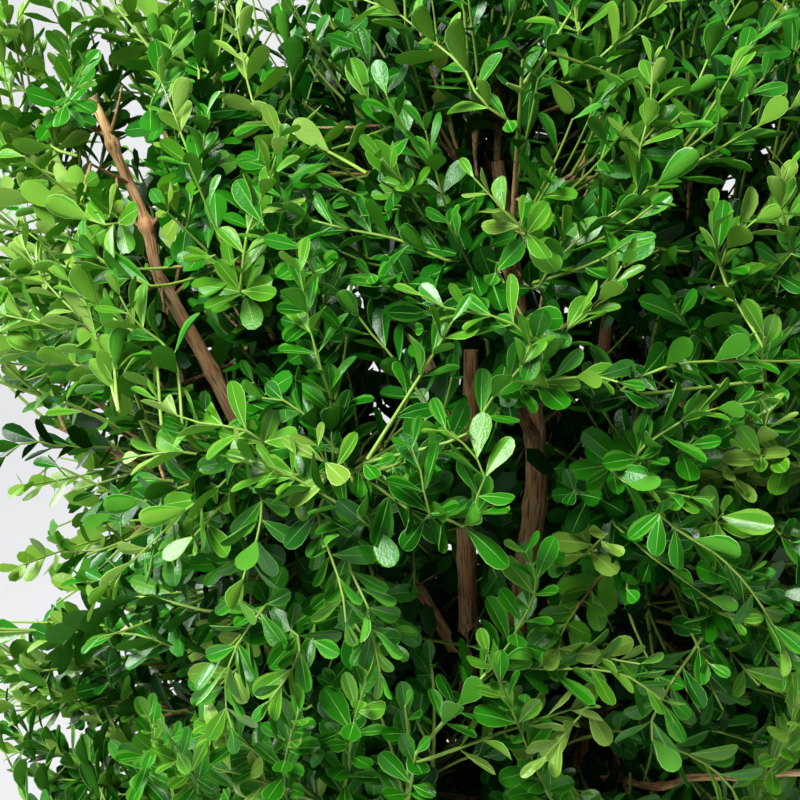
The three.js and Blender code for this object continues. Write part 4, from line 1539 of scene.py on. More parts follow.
@dataclass
class Wood:
    """The places on a mass's wood from which a shoot may grow.

    Each has its point, the wood's direction, the number of the shoot that it is on or -1, its step along that shoot,
    and how many shoots it bears.
    """

    points: np.ndarray = field(default_factory=lambda: np.zeros((0, 3)))
    ways: np.ndarray = field(default_factory=lambda: np.zeros((0, 3)))
    owners: np.ndarray = field(default_factory=lambda: np.zeros(0, int))
    steps: np.ndarray = field(default_factory=lambda: np.zeros(0, int))
    crowded: np.ndarray = field(default_factory=lambda: np.zeros(0))

    def add(self, line: np.ndarray, owner: int = -1, end: int | None = None) -> None:
        """Adds the nodes of a line, without its first.

        Args:
            line: the line.
            owner: the number of its shoot.
            end: the first of its later nodes that isn't added.
        """
        ways = unit(np.gradient(line, axis=0))[1:end]
        self.points = np.concatenate((self.points, line[1:end]))
        self.ways = np.concatenate((self.ways, ways))
        self.owners = np.concatenate((self.owners, np.full(len(ways), owner)))
        self.steps = np.concatenate((self.steps, np.arange(1, len(ways) + 1)))
        self.crowded = np.concatenate((self.crowded, np.zeros(len(ways))))


@dataclass
class Foliage:
    """The twigs, shoots and leaves of the crown, mass by mass.

    A mass has a stem of its own and up to four pairs of side twigs, as its solid has. From these, leafy shoots
    grow towards the light until they fill the mass's space evenly, and bear leaves in opposite pairs, each pair
    turned a quarter from the last.
    """

    crown: Crown
    mass_seed: int = 7919
    twig_pairs: int = 4
    twig_step: float = 8.0
    twig_longest: float = 150.0
    # Where the side twigs leave a mass's stem: the share of the first, and the run to the last
    twig_shares: tuple[float, float] = (0.1, 0.7)
    # How far they open at the stem's foot and tip, and how much the draws change their turn and opening, in degrees
    twig_opens: tuple[float, float] = (68.0, 44.0)
    twig_spreads: tuple[float, float] = (14.0, 5.0)
    twig_shortest_share: float = 0.86
    # A side twig ends at an open way beyond its first nodes, and is left out if too few nodes are left
    twig_clear: int = 2
    fewest_cut: int = 6
    fewest_uncut: int = 3
    twig_sides: int = 4
    # A mass's stem is followed in steps of its length, and kept at least over a share
    stem_steps: int = 10
    stem_step: float = 0.1
    leader_step: float = 0.08
    stem_kept: float = 0.15
    stem_radii: tuple[float, float] = (2.4, 0.7)
    twig_radii: tuple[float, float] = (1.5, 0.55)
    woody_radii: tuple[float, float] = (1.2, 0.6)
    shoot_radii: tuple[float, float] = (0.95, 0.5)
    green_depth: float = 62.0
    # How much of a stem or twig is bare, how far along it shoots may grow, and how much is bare below such shoots
    leafy_share: float = 0.45
    bearing_share: float = 0.3
    woody_share: float = 0.6
    guided_radii: tuple[float, float] = (0.9, 0.5)
    guided_internode: tuple[float, float] = (8.4, 10.2)
    # Sprays gather in lumps: their size, how deep they go, and the level of noise below which nothing grows
    lump_size: float = 52.0
    lump_depth: float = 65.0
    lump_cut: float = -0.22
    # How deep the guided sprays have the front to themselves, and the share of others that grow there
    front_depth: float = 30.0
    front_share: float = 0.7
    front_margin: float = 40.0
    # How far apart the tips of shoots stand, by how deep they are
    tip_depths: tuple[float, ...] = (0.0, 50.0, 110.0, 200.0)
    tip_spacings: tuple[float, ...] = (21.5, 22.5, 27.0, 38.0)
    shoot_reach: tuple[float, float] = (30.0, 108.0)
    usual_shoot: float = 70.0
    # How much of a shoot's own way, and of the wood's or the light's, is in its ends, and how far these pull
    shoot_mix: tuple[float, float] = (0.8, 0.5)
    shoot_pulls: tuple[float, float] = (0.36, 0.34)
    bend_points: int = 24
    internode: tuple[float, float] = (10.0, 13.0)
    leaf_length: float = 21.0
    leaf_angle: tuple[float, float] = (66.0, 36.0)
    # How much the draws change a leaf's turn in radians, its angle in degrees, the way that it faces and its length
    leaf_spreads: tuple[float, float, float, float] = (0.25, 9.0, 0.28, 0.11)
    # How far a leaf is laid flat to the light, and how much its face follows the shoot and the light
    leaf_flat: float = 0.3
    leaf_facing: tuple[float, float] = (0.85, 0.65)
    # The size of a leaf by how far along the shoot it is, and the limits of what the draws make of it
    size_shares: tuple[float, ...] = (0.0, 0.3, 0.75, 1.0)
    sizes: tuple[float, ...] = (0.82, 1.0, 0.94, 0.6)
    size_limits: tuple[float, float] = (0.75, 1.22)
    leaf_middle: float = 0.6
    fewest_leaves: int = 4
    # How often each of LEAF_SHAPES comes, and how far outside the frame leaves are still made fine
    shape_shares: tuple[float, ...] = (0.28, 0.2, 0.19, 0.16, 0.17)
    frame_margin: float = 60.0
    fine_front: float = -10.0
    margin_depth: float = 48.0
    near_depth: float = 88.0
    far_depth: float = 84.0
    # How far inside its space each piece stays, and how much nearer to its own stem than to any other
    twig_room: tuple[float, float] = (3.0, 5.5)
    tip_room: tuple[float, float] = (5.0, -1.0)
    shoot_room: tuple[float, float] = (1.0, -8.0)
    leaf_middle_room: tuple[float, float] = (1.5, -14.0)
    leaf_tip_room: tuple[float, float] = (1.5, -18.0)
    # How far the guided leaves may stand out of the crown
    guided_out: float = 6.0
    # How much upwards is in the light that pulls twigs and that bends shoots
    twig_rise: float = 0.5
    tip_rise: float = 0.35
    # What each place on the wood costs a new shoot: for a length that isn't the usual one, for each shoot already
    # there, for a turn away from the wood and for a way from the light
    length_cost: float = 0.6
    crowd_cost: float = 14.0
    turn_cost: float = 34.0
    shade_cost: float = 36.0
    # The same for a guided shoot: for a bend at the start of its line, for a turn away from the wood, for a foot that
    # shows beside its line, and for each open way that it crosses
    guided_bend_cost: float = 30.0
    guided_turn_cost: float = 15.0
    guided_aside_cost: float = 0.5
    guided_sight_cost: float = 40.0
    guided_nearest: float = 6.0
    guided_bare: int = 2
    # Where each tone after the deepest begins, on the scale that tone_of works out
    tone_starts: tuple[float, ...] = (0.5, 0.88, 1.2, 1.45)
    tone_spread: float = 0.28
    yellowed_share: float = 0.004
    # Up to where a shoot's leaves are old and from where they are tender, and how often such a leaf is darker or paler
    old_to: float = 0.4
    tender_from: float = 0.7
    old_share: float = 0.6
    young_share: float = 0.5
    # How often the tender end of a shoot that the photograph doesn't show is fresher than the rest
    fresh_end_share: float = 0.45
    # How many places for a tip are tried, how far they may be from the middle of a mass's stem, and the most kept
    tip_tries: int = 16000
    tip_reach: float = 185.0
    tip_limit: int = 600
    # A leaf's node is filed with its shoot's number times this
    filing: int = 1000

    def lay(self, mass: Mass, starts: np.ndarray, ways: np.ndarray, longest: np.ndarray) -> list[np.ndarray]:
        """Grows twigs together, step by step towards the light, until their space or length ends.

        Args:
            mass: the mass that they belong to.
            starts: where each begins.
            ways: the direction that each sets out in.
            longest: the most that each may measure.

        Returns:
            The points of each.
        """
        ways, last = unit(ways), starts.copy()
        alive = np.ones(len(starts), bool)
        rows, counts = [starts.copy()], np.ones(len(starts), int)
        run = 0.0
        while True:
            alive &= run < longest
            if not alive.any():
                break
            light = self.crown.outwards(last) + UP * self.twig_rise
            ways = unit(ways + light * mass.lift)
            ahead = last + ways * self.twig_step
            alive &= self.crown.room(mass, ahead, *self.twig_room)
            last = np.where(alive[:, None], ahead, last)
            rows.append(last.copy())
            counts += alive
            run += self.twig_step
        rows = np.array(rows)
        return [rows[:count, i] for i, count in enumerate(counts)]

    def stem_of(self, mass: Mass) -> np.ndarray:
        """Grows a mass's own stem, as far as its space allows.

        Args:
            mass: the mass.

        Returns:
            The points of the stem.
        """
        shares = np.arange(self.stem_steps) * (self.leader_step if mass.leader else self.stem_step)
        points = mass.stem.at(shares)
        good = self.crown.room(mass, points, *self.twig_room) | (shares < self.stem_kept)
        ends = int(np.argmin(good)) if not good.all() else len(points)
        return Path(points[:ends]).spaced(self.internode[0])

    def twigs_of(self, mass: Mass) -> list[np.ndarray]:
        """Grows the side twigs of a mass by the rule of its solid.

        Args:
            mass: the mass.

        Returns:
            The points of each twig.
        """
        draws = Draws(self.mass_seed * (mass.order + 1))
        first_turn = draws.between(0, 90)
        shares, turns, opens, longest = [], [], [], []
        (first, run), (foot, tip), (turn, lean) = self.twig_shares, self.twig_opens, self.twig_spreads
        for pair in range(self.twig_pairs):
            share = first + run * pair / (self.twig_pairs - 1)
            for half in (0, 180):
                shares.append(share)
                turns.append(math.radians(first_turn + 90 * pair + half + draws.between(-turn, turn)))
                opens.append(math.radians(foot + (tip - foot) * share + draws.between(-lean, lean)))
                longest.append(self.twig_longest * draws.between(self.twig_shortest_share, 1))
        shares = np.array(shares)
        ways = leaning(mass.stem.heading(shares), np.array(turns), np.array(opens))
        twigs = self.lay(mass, mass.stem.at(shares), ways, np.array(longest))
        trimmed = []
        for twig in twigs:
            open_sky = np.zeros(len(twig), bool)
            for sight in SIGHTS:
                open_sky |= sight.holds(twig) & ((np.arange(len(twig)) > self.twig_clear) | sight.shows_paper)
            end = int(open_sky.argmax()) if open_sky.any() else len(twig)
            trimmed.append(twig[:end] if end == len(twig) or end > self.fewest_cut else twig[:0])
        return [Path(twig).spaced(self.internode[0]) for twig in trimmed if len(twig) > self.fewest_uncut]

    def tips_of(self, mass: Mass, draws: np.random.Generator) -> np.ndarray:
        """Spreads the tips of shoots evenly through a mass's space, closer together near the light.

        Args:
            mass: the mass.
            draws: the random numbers.

        Returns:
            The tips.
        """
        reach = self.tip_reach
        cloud = (mass.entry + mass.pole) / 2 + draws.uniform(-reach, reach, (self.tip_tries, 3))
        cloud = cloud[self.crown.depth(cloud) < self.tip_depths[-1]]
        cloud = cloud[self.crown.room(mass, cloud, *self.tip_room)]
        for sight in SIGHTS:
            cloud = cloud[~sight.holds(cloud)]
        gaps = np.interp(self.crown.depth(cloud), self.tip_depths, self.tip_spacings)
        kept = np.empty((self.tip_limit, 3))
        count = 0
        for point, gap in zip(cloud, gaps):
            off = kept[:count] - point
            # The sum of the sides is quicker to compare, and never less than the distance
            if np.abs(off).sum(1).min(initial=np.inf) > gap and (off**2).sum(1).min(initial=np.inf) > gap**2:
                kept[count] = point
                count += 1
        kept = kept[:count]
        depth = self.crown.depth(kept)
        on_ball = self.crown.outwards(kept) * self.crown.reach / self.lump_size
        lumps = np.array([noise.noise(Vector(place)) for place in on_ball])
        seen = VIEW.pixels(kept)
        in_frame = ((seen > -self.front_margin) & (seen < VIEW.frame_size + self.front_margin)).all(1)
        bare = (depth < self.lump_depth) & (lumps < self.lump_cut)
        bare |= in_frame & (kept[:, 1] < 0) & (depth < self.front_depth) & (draws.random(count) > self.front_share)
        return kept[~bare]

    def shoot_to(self, start: np.ndarray, heading: np.ndarray, tip: np.ndarray, step: float) -> np.ndarray:
        """Bends a shoot from the wood to its tip, so that it leaves with the wood and ends towards the light.

        Args:
            start: where it leaves the wood.
            heading: the wood's direction there.
            tip: where it ends.
            step: how far apart its nodes are.

        Returns:
            Its nodes.
        """
        far = float(np.linalg.norm(tip - start))
        way = (tip - start) / far
        light = self.crown.outwards(tip[None])[0] + UP * self.tip_rise
        (own, other), (foot_pull, tip_pull) = self.shoot_mix, self.shoot_pulls
        first = start + unit(way * own + heading * other) * far * foot_pull
        second = tip - unit(way * own + light * other) * far * tip_pull
        t = np.linspace(0, 1, self.bend_points)[:, None]
        points = (1 - t) ** 3 * start + 3 * t * (1 - t) ** 2 * first + 3 * t**2 * (1 - t) * second + t**3 * tip
        return Path(points).spaced(step)

    def fill(self, mass: Mass, stem: np.ndarray, twigs: list[np.ndarray], draws: np.random.Generator) -> list[Shoot]:
        """Grows shoots from a mass's stem and twigs, and from each other, to evenly spread tips.

        Args:
            mass: the mass.
            stem: the line of its stem.
            twigs: the lines of its side twigs.
            draws: the random numbers.

        Returns:
            The shoots, then the stem and twigs.
        """
        wood = Wood()
        for axis in (stem, *twigs):
            wood.add(axis)
        shoots = [
            self.follow(guide, wood, draws)
            for guide in GUIDES
            if line_distances(guide.places(self.crown)[:1], *self.crown.axes).argmin() == mass.order
        ]
        for number, shoot in enumerate(shoots):
            wood.add(shoot.nodes, number, shoot.foot + 1)
        tips = self.tips_of(mass, draws)
        nearest = np.array([np.linalg.norm(wood.points - tip, axis=1).min() for tip in tips])
        for tip in tips[np.argsort(nearest)]:
            best = self.start_for(tip, wood)
            if best is None:
                continue
            nodes = self.shoot_to(wood.points[best], wood.ways[best], tip, draws.uniform(*self.internode))
            if not self.crown.room(mass, nodes[2:], *self.shoot_room).all():
                continue
            if any(sight.is_narrow and sight.holds(nodes).sum() > sight.shows_paper for sight in SIGHTS):
                continue
            wood.crowded[best] += 1
            if wood.owners[best] >= 0:
                parent = shoots[wood.owners[best]]
                parent.last_child = max(parent.last_child, int(wood.steps[best]))
            shoots.append(Shoot(nodes, self.shoot_radii))
            wood.add(nodes, len(shoots) - 1)
        for shoot in shoots:
            if shoot.last_child and shoot.tone is None:
                shoot.radii = self.woody_radii
                shoot.bare = max(1, int(shoot.last_child * self.woody_share))
            shoot.old = shoot.last_child
        for axis, radii in ((stem, self.stem_radii), *((twig, self.twig_radii) for twig in twigs)):
            bare_leader = mass.leader and axis is stem
            last = len(axis) if bare_leader else int(len(axis) * self.bearing_share)
            bare = len(axis) if bare_leader else int(len(axis) * self.leafy_share)
            shoots.append(Shoot(axis, radii, bare, len(axis), last))
        for shoot in shoots:
            shoot.old = min(shoot.old, int((self.crown.depth(shoot.nodes) > self.green_depth).sum()))
        return shoots

    def start_for(self, tip: np.ndarray, wood: Wood) -> int | None:
        """Chooses where on the wood the shoot to a tip grows at the least cost.

        Args:
            tip: the tip.
            wood: the places to choose from.

        Returns:
            The number of the place, or None if all are too near or too far.
        """
        short, long = self.shoot_reach
        far = np.linalg.norm(wood.points - tip, axis=1)
        toward = (tip - wood.points) / far[:, None]
        light = unit(self.crown.outwards(wood.points) + UP * self.twig_rise)
        cost = self.length_cost * np.abs(far - self.usual_shoot) + self.crowd_cost * wood.crowded
        cost += self.turn_cost * (1 - (toward * wood.ways).sum(1)) + self.shade_cost * (1 - (toward * light).sum(1))
        best = int(np.argmin(np.where((far < short) | (far > long), np.inf, cost)))
        return best if short <= far[best] <= long else None

    def follow(self, guide: Guide, wood: Wood, draws: np.random.Generator) -> Shoot:
        """Grows a shoot that the photograph shows, from the nearest wood and along its line.

        Args:
            guide: the line.
            wood: the mass's wood.
            draws: the random numbers.

        Returns:
            The shoot, whose foot ends where its line begins.
        """
        line = guide.places(self.crown)
        gap = line[0] - wood.points
        far = np.linalg.norm(gap, axis=1)
        cost = far + self.guided_bend_cost * (1 - (unit(gap) * unit(line[1] - line[0])).sum(1))
        cost = cost + self.guided_turn_cost * (1 - (unit(gap) * wood.ways).sum(1))
        # Its foot runs back from the viewer, behind its own leaves, and clear of the open ways
        aside = np.linalg.norm(VIEW.pixels(wood.points) - VIEW.pixels(line[:1]), axis=1)
        cost += self.guided_aside_cost * aside
        for sight in SIGHTS:
            cost += self.guided_sight_cost * sight.holds(wood.points + gap / 2)
        best = int(np.argmin(np.where(far > self.guided_nearest, cost, np.inf)))
        step = draws.uniform(*self.guided_internode)
        nodes = Path.through(np.array([wood.points[best], *line])).spaced(step)
        foot = max(1, int(far[best] / step))
        bare = min(foot, self.guided_bare)
        return Shoot(nodes, self.guided_radii, bare, last_child=foot, tone=guide.tone, foot=foot)

    def tone_of(self, place: np.ndarray, draws: np.random.Generator) -> Tone:
        """Deals a tone to a spray.

        Args:
            place: where the spray ends.
            draws: the random numbers.

        Returns:
            The tone: younger, paler greens towards the light and the left, deeper ones inside and to the right; these
                paler and darker greens are partly painted light and painted shade.
        """
        if draws.random() < self.yellowed_share:
            return Tone.YELLOWED
        x, _, z = place
        # Younger greens towards the crown's edge and its top, which also paints light there and shade deeper inside
        out = 1 - float(self.crown.depth(place[None])[0]) / self.crown.reach
        youth_and_light = 1.9 * (out - 0.5) / 0.5 - 0.72 + 0.15 * (z - 500) / 300 + draws.normal(0, self.tone_spread)
        # Paler greens at the left paint light, and darker ones at the right and in the upper middle paint shade
        lit_left, shaded_right = np.clip((-x - 95) / 90, 0, 1), np.clip((x - 20) / 120, 0, 1)
        shaded_middle, near_top = math.exp(-(((x + 50) / 55) ** 2)), np.clip((z - 560) / 60, 0, 1)
        youth_and_light += 0.42 * lit_left - 0.18 * shaded_right
        youth_and_light -= 0.3 * shaded_middle * near_top
        return Tone(int(np.searchsorted(self.tone_starts, youth_and_light)))

    def dress(self, leaves: Leaves, shoot: Shoot, number: int, draws: np.random.Generator) -> None:
        """Sets leaves in opposite pairs on a shoot, and a small pair at its tip.

        Args:
            leaves: what they are added to.
            shoot: the shoot.
            number: its number, which is filed with each leaf's node.
            draws: the random numbers.
        """
        line, told = shoot.nodes, shoot.tone
        nodes = np.arange(shoot.bare, len(line))
        if not len(nodes):
            return
        tone = self.tone_of(line[-1], draws) if told is None else told
        headings = unit(np.gradient(line, axis=0))[nodes]
        share = (nodes - shoot.bare + 1) / len(nodes)
        turn = draws.uniform(0, math.pi) + nodes * math.pi / 2
        roots = np.repeat(line[nodes], 2, axis=0)
        headings = np.repeat(headings, 2, axis=0)
        share = np.repeat(share, 2)
        count = len(share)
        turn_spread, angle_spread, face_spread, length_spread = self.leaf_spreads
        turns = np.repeat(turn, 2) + np.tile((0, math.pi), len(nodes)) + draws.normal(0, turn_spread, count)
        wide, narrow = self.leaf_angle
        opens = np.radians(wide + (narrow - wide) * share**1.5 + draws.normal(0, angle_spread, count))
        ways = leaning(headings, turns, opens)
        light = unit(self.crown.outwards(roots) + UP)
        flat = unit(across(light, headings))
        ways = unit(ways - self.leaf_flat * (ways * flat).sum(-1, keepdims=True) * flat)
        natural = unit(across(headings, ways))
        by_shoot, by_light = self.leaf_facing
        facing = natural * by_shoot + across(light, ways) * by_light + draws.normal(0, face_spread, (count, 3))
        size = np.interp(share, self.size_shares, self.sizes)
        leaves.roots.append(roots)
        leaves.ways.append(ways)
        leaves.faces.append(unit(across(facing, ways)))
        drawn = draws.normal(1, length_spread, count).clip(*self.size_limits)
        leaves.lengths.append(self.leaf_length * size * drawn)
        tender = share > self.tender_from
        fresher = tender & (tone < Tone.FRESH) & (draws.random() < self.fresh_end_share)
        tones = int(tone) + fresher.astype(int)
        if told is not None:
            older = (share < self.old_to) & (draws.random(count) < self.old_share)
            younger = tender & (draws.random(count) < self.young_share)
            tones = np.clip(int(told) - older + younger, 0, int(Tone.LIME))
        leaves.tones.append(tones)
        leaves.guided.append(np.repeat(1 + (nodes >= shoot.foot), 2) * (told is not None))
        leaves.nodes.append(np.repeat(nodes, 2) + self.filing * number)

    def forms_of(self, roots: np.ndarray, draws: np.random.Generator) -> np.ndarray:
        """Deals a form to every leaf: the finest where the photograph sees them.

        Args:
            roots: the leaves' roots.
            draws: the random numbers.

        Returns:
            The numbers of the forms.
        """
        forms = draws.choice(len(LEAF_SHAPES), len(roots), p=self.shape_shares)
        depth = self.crown.depth(roots)
        seen = VIEW.pixels(roots)
        in_frame = ((seen > -self.frame_margin) & (seen < VIEW.frame_size + self.frame_margin)).all(1)
        near = in_frame & (roots[:, 1] < self.fine_front) & (depth < self.near_depth)
        forms[near & (depth > self.margin_depth)] += len(LEAF_SHAPES)
        forms[~near] = 2 * len(LEAF_SHAPES)
        forms[~near & (depth > self.far_depth)] += 1
        return forms

    def twig_tree(self) -> bpy.types.NodeTree:
        """Builds the geometry nodes of the twigs.

        Returns:
            The tree: a thin tube along every line, green or woody by its age.
        """
        tree, given = new_tree(
            "twigs_and_shoots",
            {"Lines": "Geometry", "Sides": "Int", "Green skin": "Material", "Old skin": "Material"},
        )
        lines = add_node(tree, "GeometryNodeMeshToCurve", {"Mesh": given["Lines"]})
        ring = add_node(tree, "GeometryNodeCurvePrimitiveCircle", {"Resolution": given["Sides"], "Radius": 1.0})
        smooth = add_node(tree, "GeometryNodeSetShadeSmooth", {"Geometry": swept(tree, lines, ring)})
        real = add_node(tree, "GeometryNodeRealizeInstances", {"Geometry": smooth})
        green = add_node(tree, "GeometryNodeSetMaterial", {"Geometry": real, "Material": given["Green skin"]})
        age = add_node(tree, "GeometryNodeInputNamedAttribute", {"Name": "age"})
        is_old = add_node(tree, "FunctionNodeCompare", {0: age, 1: 0.5}, operation="GREATER_THAN")
        older = {"Geometry": green, "Selection": is_old, "Material": given["Old skin"]}
        add_node(tree, "NodeGroupOutput", {"Result": add_node(tree, "GeometryNodeSetMaterial", older)})
        return tree

    def leaf_tree(self) -> bpy.types.NodeTree:
        """Builds the geometry nodes of the leaves.

        Returns:
            The tree: a blade at every point, turned and sized by the point's values, with a finish for each part.
        """
        finishes = [(tone, part) for tone in Tone for part in LeafPart]
        names = {f"{tone.name} {part.name}".lower(): "Material" for tone, part in finishes}
        tree, given = new_tree("leaves_on_shoots", {"Points": "Geometry", "Blades": "Collection", **names})
        blades = {"Collection": given["Blades"], "Separate Children": True, "Reset Children": True}
        blades = add_node(tree, "GeometryNodeCollectionInfo", blades)
        kinds = {"way": "FLOAT_VECTOR", "face": "FLOAT_VECTOR", "size": "FLOAT"}
        kinds |= {name: "INT" for name in ("form", "tone", "part")}
        named = {
            name: add_node(tree, "GeometryNodeInputNamedAttribute", {"Name": name}, data_type=kind)
            for name, kind in kinds.items()
        }
        axes = {"Primary Axis": named["way"], "Secondary Axis": named["face"]}
        rotation = add_node(tree, "FunctionNodeAxesToRotation", axes, primary_axis="Y", secondary_axis="Z")
        instances = add_node(
            tree,
            "GeometryNodeInstanceOnPoints",
            {
                "Points": given["Points"],
                "Instance": blades,
                "Pick Instance": True,
                "Instance Index": named["form"],
                "Rotation": rotation,
                "Scale": named["size"],
            },
        )
        shown = add_node(tree, "GeometryNodeRealizeInstances", {"Geometry": instances})
        parts = float(len(LeafPart))
        code = {0: named["tone"], 1: parts, 2: named["part"]}
        code = add_node(tree, "ShaderNodeMath", code, operation="MULTIPLY_ADD")
        for tone, part in finishes:
            match = add_node(tree, "FunctionNodeCompare", {0: code, 1: tone * parts + part, 12: 0.2}, operation="EQUAL")
            finish = given[f"{tone.name} {part.name}".lower()]
            dressed = {"Geometry": shown, "Selection": match, "Material": finish}
            shown = add_node(tree, "GeometryNodeSetMaterial", dressed)
        add_node(tree, "NodeGroupOutput", {"Result": shown})
        return tree

    def finishes(self) -> dict[str, bpy.types.Material]:
        """The leaf materials by the names of the leaf tree's inputs."""
        made = {}
        for tone, colours in LEAF_COLOURS.items():
            for part, colour, roughness in (
                (LeafPart.UPPER, colours.upper, 0.3),
                (LeafPart.UNDER, colours.under, 0.6),
                (LeafPart.RIB, colours.rib, 0.45),
            ):
                leaf = BoxLeaf(tone, part, colour, roughness, colours.through)
                made[f"{tone.name} {part.name}".lower()] = leaf.material()
        return made

    def blades(self) -> bpy.types.Collection:
        """The collection of leaf forms, out of the scene. Its names keep the forms in their order."""
        kept = bpy.data.collections.new("leaf_blades")
        for number, form in enumerate(LEAF_FORMS):
            blade = bpy.data.objects.new(f"blade_{number:02d}_{form.name}", LeafBlade(form).mesh())
            kept.objects.link(blade)
        return kept

    def twig_lines(self, mass: Mass, shoots: list[Shoot]) -> bpy.types.Mesh:
        """Lays the lines of all wood in a mass, with their thickness and age.

        Args:
            mass: the mass.
            shoots: its stem, twigs and shoots.

        Returns:
            The carrier mesh.
        """
        lines = [shoot.nodes for shoot in shoots]
        firsts = np.cumsum([0, *(len(line) for line in lines)])[:-1]
        edges = [
            np.stack((np.arange(len(line) - 1), np.arange(1, len(line))), 1) + first
            for line, first in zip(lines, firsts)
        ]
        thickness = [np.linspace(*shoot.radii, len(shoot.nodes)) * MM for shoot in shoots]
        ages = [(np.arange(len(shoot.nodes)) < shoot.old).astype(float) for shoot in shoots]
        values = {"thickness": np.concatenate(thickness), "age": np.concatenate(ages)}
        return carrier(f"{mass.name}_lines", np.concatenate(lines), np.concatenate(edges), values)

    def leaf_points(self, mass: Mass, shoots: list[Shoot], draws: np.random.Generator) -> bpy.types.Mesh:
        """Sets the leaves of a mass, leaves out those that have no room, and trims the wood that stays bare.

        Args:
            mass: the mass.
            shoots: its stem, twigs and shoots. Those that bear nothing are taken out.
            draws: the random numbers.

        Returns:
            The carrier mesh.
        """
        leaves = Leaves()
        for number, shoot in enumerate(shoots):
            self.dress(leaves, shoot, number, draws)
        roots, ways, faces, lengths, tones, guided, nodes = leaves.joined()
        middles = roots + ways * lengths[:, None] * self.leaf_middle
        tips = roots + ways * lengths[:, None]
        good = self.crown.room(mass, middles, *self.leaf_middle_room)
        good &= self.crown.room(mass, tips, *self.leaf_tip_room)
        # What the photograph shows goes first, as far as it stays in the crown
        inside = self.crown.depth(tips) > -self.guided_out
        good |= (guided > 0) & inside
        for sight in SIGHTS:
            held = sight.holds(middles) | sight.holds(tips) | (sight.holds(roots) & sight.is_narrow)
            good &= ~held | ((guided > 0) & (not sight.is_narrow) & (not sight.shows_paper))
        for guide in GUIDES:
            good &= (guided > 0) | ~(guide.covered(self.crown, middles) | guide.covered(self.crown, tips))
        good |= (guided > 1) & inside
        owners, nodes = nodes // self.filing, nodes % self.filing
        kept = []
        for number, shoot in enumerate(shoots):
            bearing = nodes[good & (owners == number)]
            if shoot.tone is None and len(bearing) < self.fewest_leaves:
                good &= owners != number
                bearing = bearing[:0]
            last = max(shoot.last_child, int(bearing.max(initial=0)))
            if last:
                shoot.nodes = shoot.nodes[: last + 1]
                kept.append(shoot)
        shoots[:] = kept
        roots = roots[good]
        values = {
            "way": ways[good],
            "face": faces[good],
            "size": lengths[good] * MM,
            "form": self.forms_of(roots, draws),
            "tone": tones[good],
        }
        return carrier(f"{mass.name}_points", roots, np.zeros((0, 2), int), values)

    def build(self) -> list[bpy.types.Object]:
        """Grows and dresses every mass.

        Returns:
            The pieces, two for each mass: its twigs and its leaves, in place of its solid.
        """
        twig_tree, leaf_tree = self.twig_tree(), self.leaf_tree()
        twig_bark = BoxBark("box_twig_bark", "#b39662", "#957646", "#6b5232", by_limb=False, furrow_bump=0.3)
        skins = {"Green skin": GreenShoot().material(), "Old skin": twig_bark.material()}
        twig_values = {"Sides": self.twig_sides, **skins}
        blades = self.blades()
        leaf_values = {"Blades": blades, **self.finishes()}
        made, leaves = [], 0
        for mass in self.crown.masses:
            draws = np.random.default_rng(self.mass_seed + mass.order)
            stem, twigs = self.stem_of(mass), self.twigs_of(mass)
            shoots = self.fill(mass, stem, twigs, draws)
            points = self.leaf_points(mass, shoots, draws)
            leaves += len(points.vertices)
            lines = self.twig_lines(mass, shoots)
            made.append(rides(shaped(f"{mass.name}_twigs", lines, twig_tree, twig_values), "bark", mass.name))
            made.append(rides(shaped(f"{mass.name}_leaves", points, leaf_tree, leaf_values), "foliage", mass.name))
        for blade in list(blades.objects):
            bpy.data.objects.remove(blade)
        bpy.data.collections.remove(blades)
        triangles = sum(len(p.vertices) - 2 for piece in made for p in piece.data.polygons)
        LOG.info("foliage: %d leaves, %d triangles", leaves, triangles)
        return made


def turned(name: str, profile: list[tuple[float, float]], sides: int) -> bpy.types.Mesh:
    """Turns a profile about Z.

    Args:
        name: the mesh's name.
        profile: points of radius and height in millimetres, from the axis underneath to the axis above.
        sides: how many facets the round has.

    Returns:
        The closed mesh.
    """
    angles = np.linspace(0, math.tau, sides, endpoint=False)
    rows = [np.stack((r * np.cos(angles), r * np.sin(angles), np.full(sides, float(z))), 1) for r, z in profile[1:-1]]
    points = np.concatenate([[(0, 0, profile[0][1])], *rows, [(0, 0, profile[-1][1])]]) * MM
    faces = []
    last = len(points) - 1
    for i in range(sides):
        j = (i + 1) % sides
        faces.append((0, 1 + j, 1 + i))
        for row in range(len(rows) - 1):
            a = 1 + row * sides
            faces.append((a + i, a + j, a + sides + j, a + sides + i))
        top = 1 + (len(rows) - 1) * sides
        faces.append((top + i, top + j, last))
    return smooth_mesh(name, points.tolist(), faces)


def rounded(profile: list[tuple[float, float, float]], steps: int = 4) -> list[tuple[float, float]]:
    """Rounds the corners of a profile.

    Args:
        profile: points of radius, height and how far each side of the corner the rounding begins.
        steps: how many points a rounded corner has, less one.

    Returns:
        The points of the rounded profile.
    """
    made = []
    for i, (x, z, cut) in enumerate(profile):
        if not cut:
            made.append((x, z))
            continue
        corner = np.array((x, z))
        into = unit(np.array(profile[i - 1][:2]) - corner) * cut
        out = unit(np.array(profile[i + 1][:2]) - corner) * cut
        for t in np.linspace(0, 1, steps + 1):
            made.append(tuple(corner + into * (1 - t) ** 2 + out * t**2))
    return made


